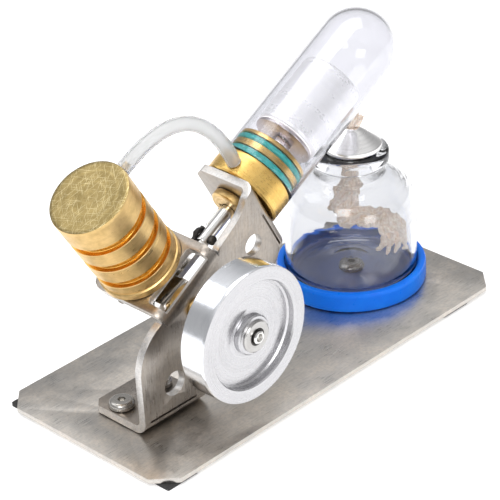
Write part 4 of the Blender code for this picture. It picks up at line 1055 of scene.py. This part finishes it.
# ----- floor, light, camera
FLOOR_HALF = 6.0
corners = [(x, y, 0) for x, y in rectangle(-FLOOR_HALF, -FLOOR_HALF, FLOOR_HALF, FLOOR_HALF)]
paper = Look("white_paper", (0.88, 0.88, 0.88), 0.9, Emission_Color=(1, 1, 1, 1), Emission_Strength=0.38)
floor_mesh = bpy.data.meshes.new("studio_floor")
floor_mesh.from_pydata(corners, [], [(0, 1, 2, 3)])
floor_mesh.materials.append(paper.mat)
link_new("studio_floor", floor_mesh)

# The camera sees white round the model; everything else is lit by soft greys.
world = bpy.data.worlds.new("studio")
bpy.context.scene.world = world
world.use_nodes = True
world.node_tree.nodes.clear()
sky = Wiring(world.node_tree)
way = sky.node("ShaderNodeSeparateXYZ", sky.node("ShaderNodeTexCoord").outputs["Generated"])
greys = sky.node("ShaderNodeValToRGB", way.outputs[2])
stops = greys.color_ramp.elements
stops[0].position, stops[0].color = 0.0, (0.48, 0.48, 0.49, 1)
stops[1].position, stops[1].color = 1.0, (0.80, 0.80, 0.80, 1)
for position, value in ((0.18, 0.43), (0.45, 0.41), (0.62, 0.54), (0.8, 0.80)):
    stops.new(position).color = (value, value, value * 1.01, 1)
around = sky.node("ShaderNodeBackground", greys.outputs[0], 1.0)
seen = sky.node("ShaderNodeBackground", (1, 1, 1, 1), 1.0)
by_camera = sky.node("ShaderNodeLightPath").outputs["Is Camera Ray"]
mix = sky.node("ShaderNodeMixShader", by_camera, around.outputs[0], seen.outputs[0])
sky.node("ShaderNodeOutputWorld", mix.outputs[0])

MIDDLE = Vector((0.0, 0.0, 0.045))


def softbox(name, location, size, power, colour=(1, 1, 1)):
    """A square light that looks at the model's middle."""
    data = bpy.data.lights.new(name, "AREA")
    data.shape = "RECTANGLE"
    data.size = data.size_y = size
    data.energy = power
    data.color = colour
    light = link_new(name, data)
    light.location = location
    light.rotation_euler = (MIDDLE - Vector(location)).to_track_quat("-Z", "Y").to_euler()


softbox("key", (-0.60, -0.30, 0.70), 0.45, 3.2)
softbox("top", (0.10, 0.15, 0.95), 0.60, 3.0)
softbox("back", (-0.34, 0.72, 0.84), 0.50, 1.1, (0.95, 0.97, 1.0))
softbox("front", (-0.15, -0.85, 0.25), 0.30, 1.2)

x_axis = RIGHT * math.cos(ROLL) + UP * math.sin(ROLL)
y_axis = UP * math.cos(ROLL) - RIGHT * math.sin(ROLL)
camera_data = bpy.data.cameras.new("camera")
camera_data.sensor_width = 36.0
camera_data.lens = 160.8
camera = link_new("camera", camera_data)
view = Matrix((x_axis, y_axis, -FORWARD)).transposed().to_4x4()
camera.matrix_world = Matrix.Translation((Vector((-344.639, -384.477, 369.6)) + ORIGIN) * MM) @ view
bpy.context.scene.camera = camera
bpy.context.scene.view_settings.view_transform = "Standard"
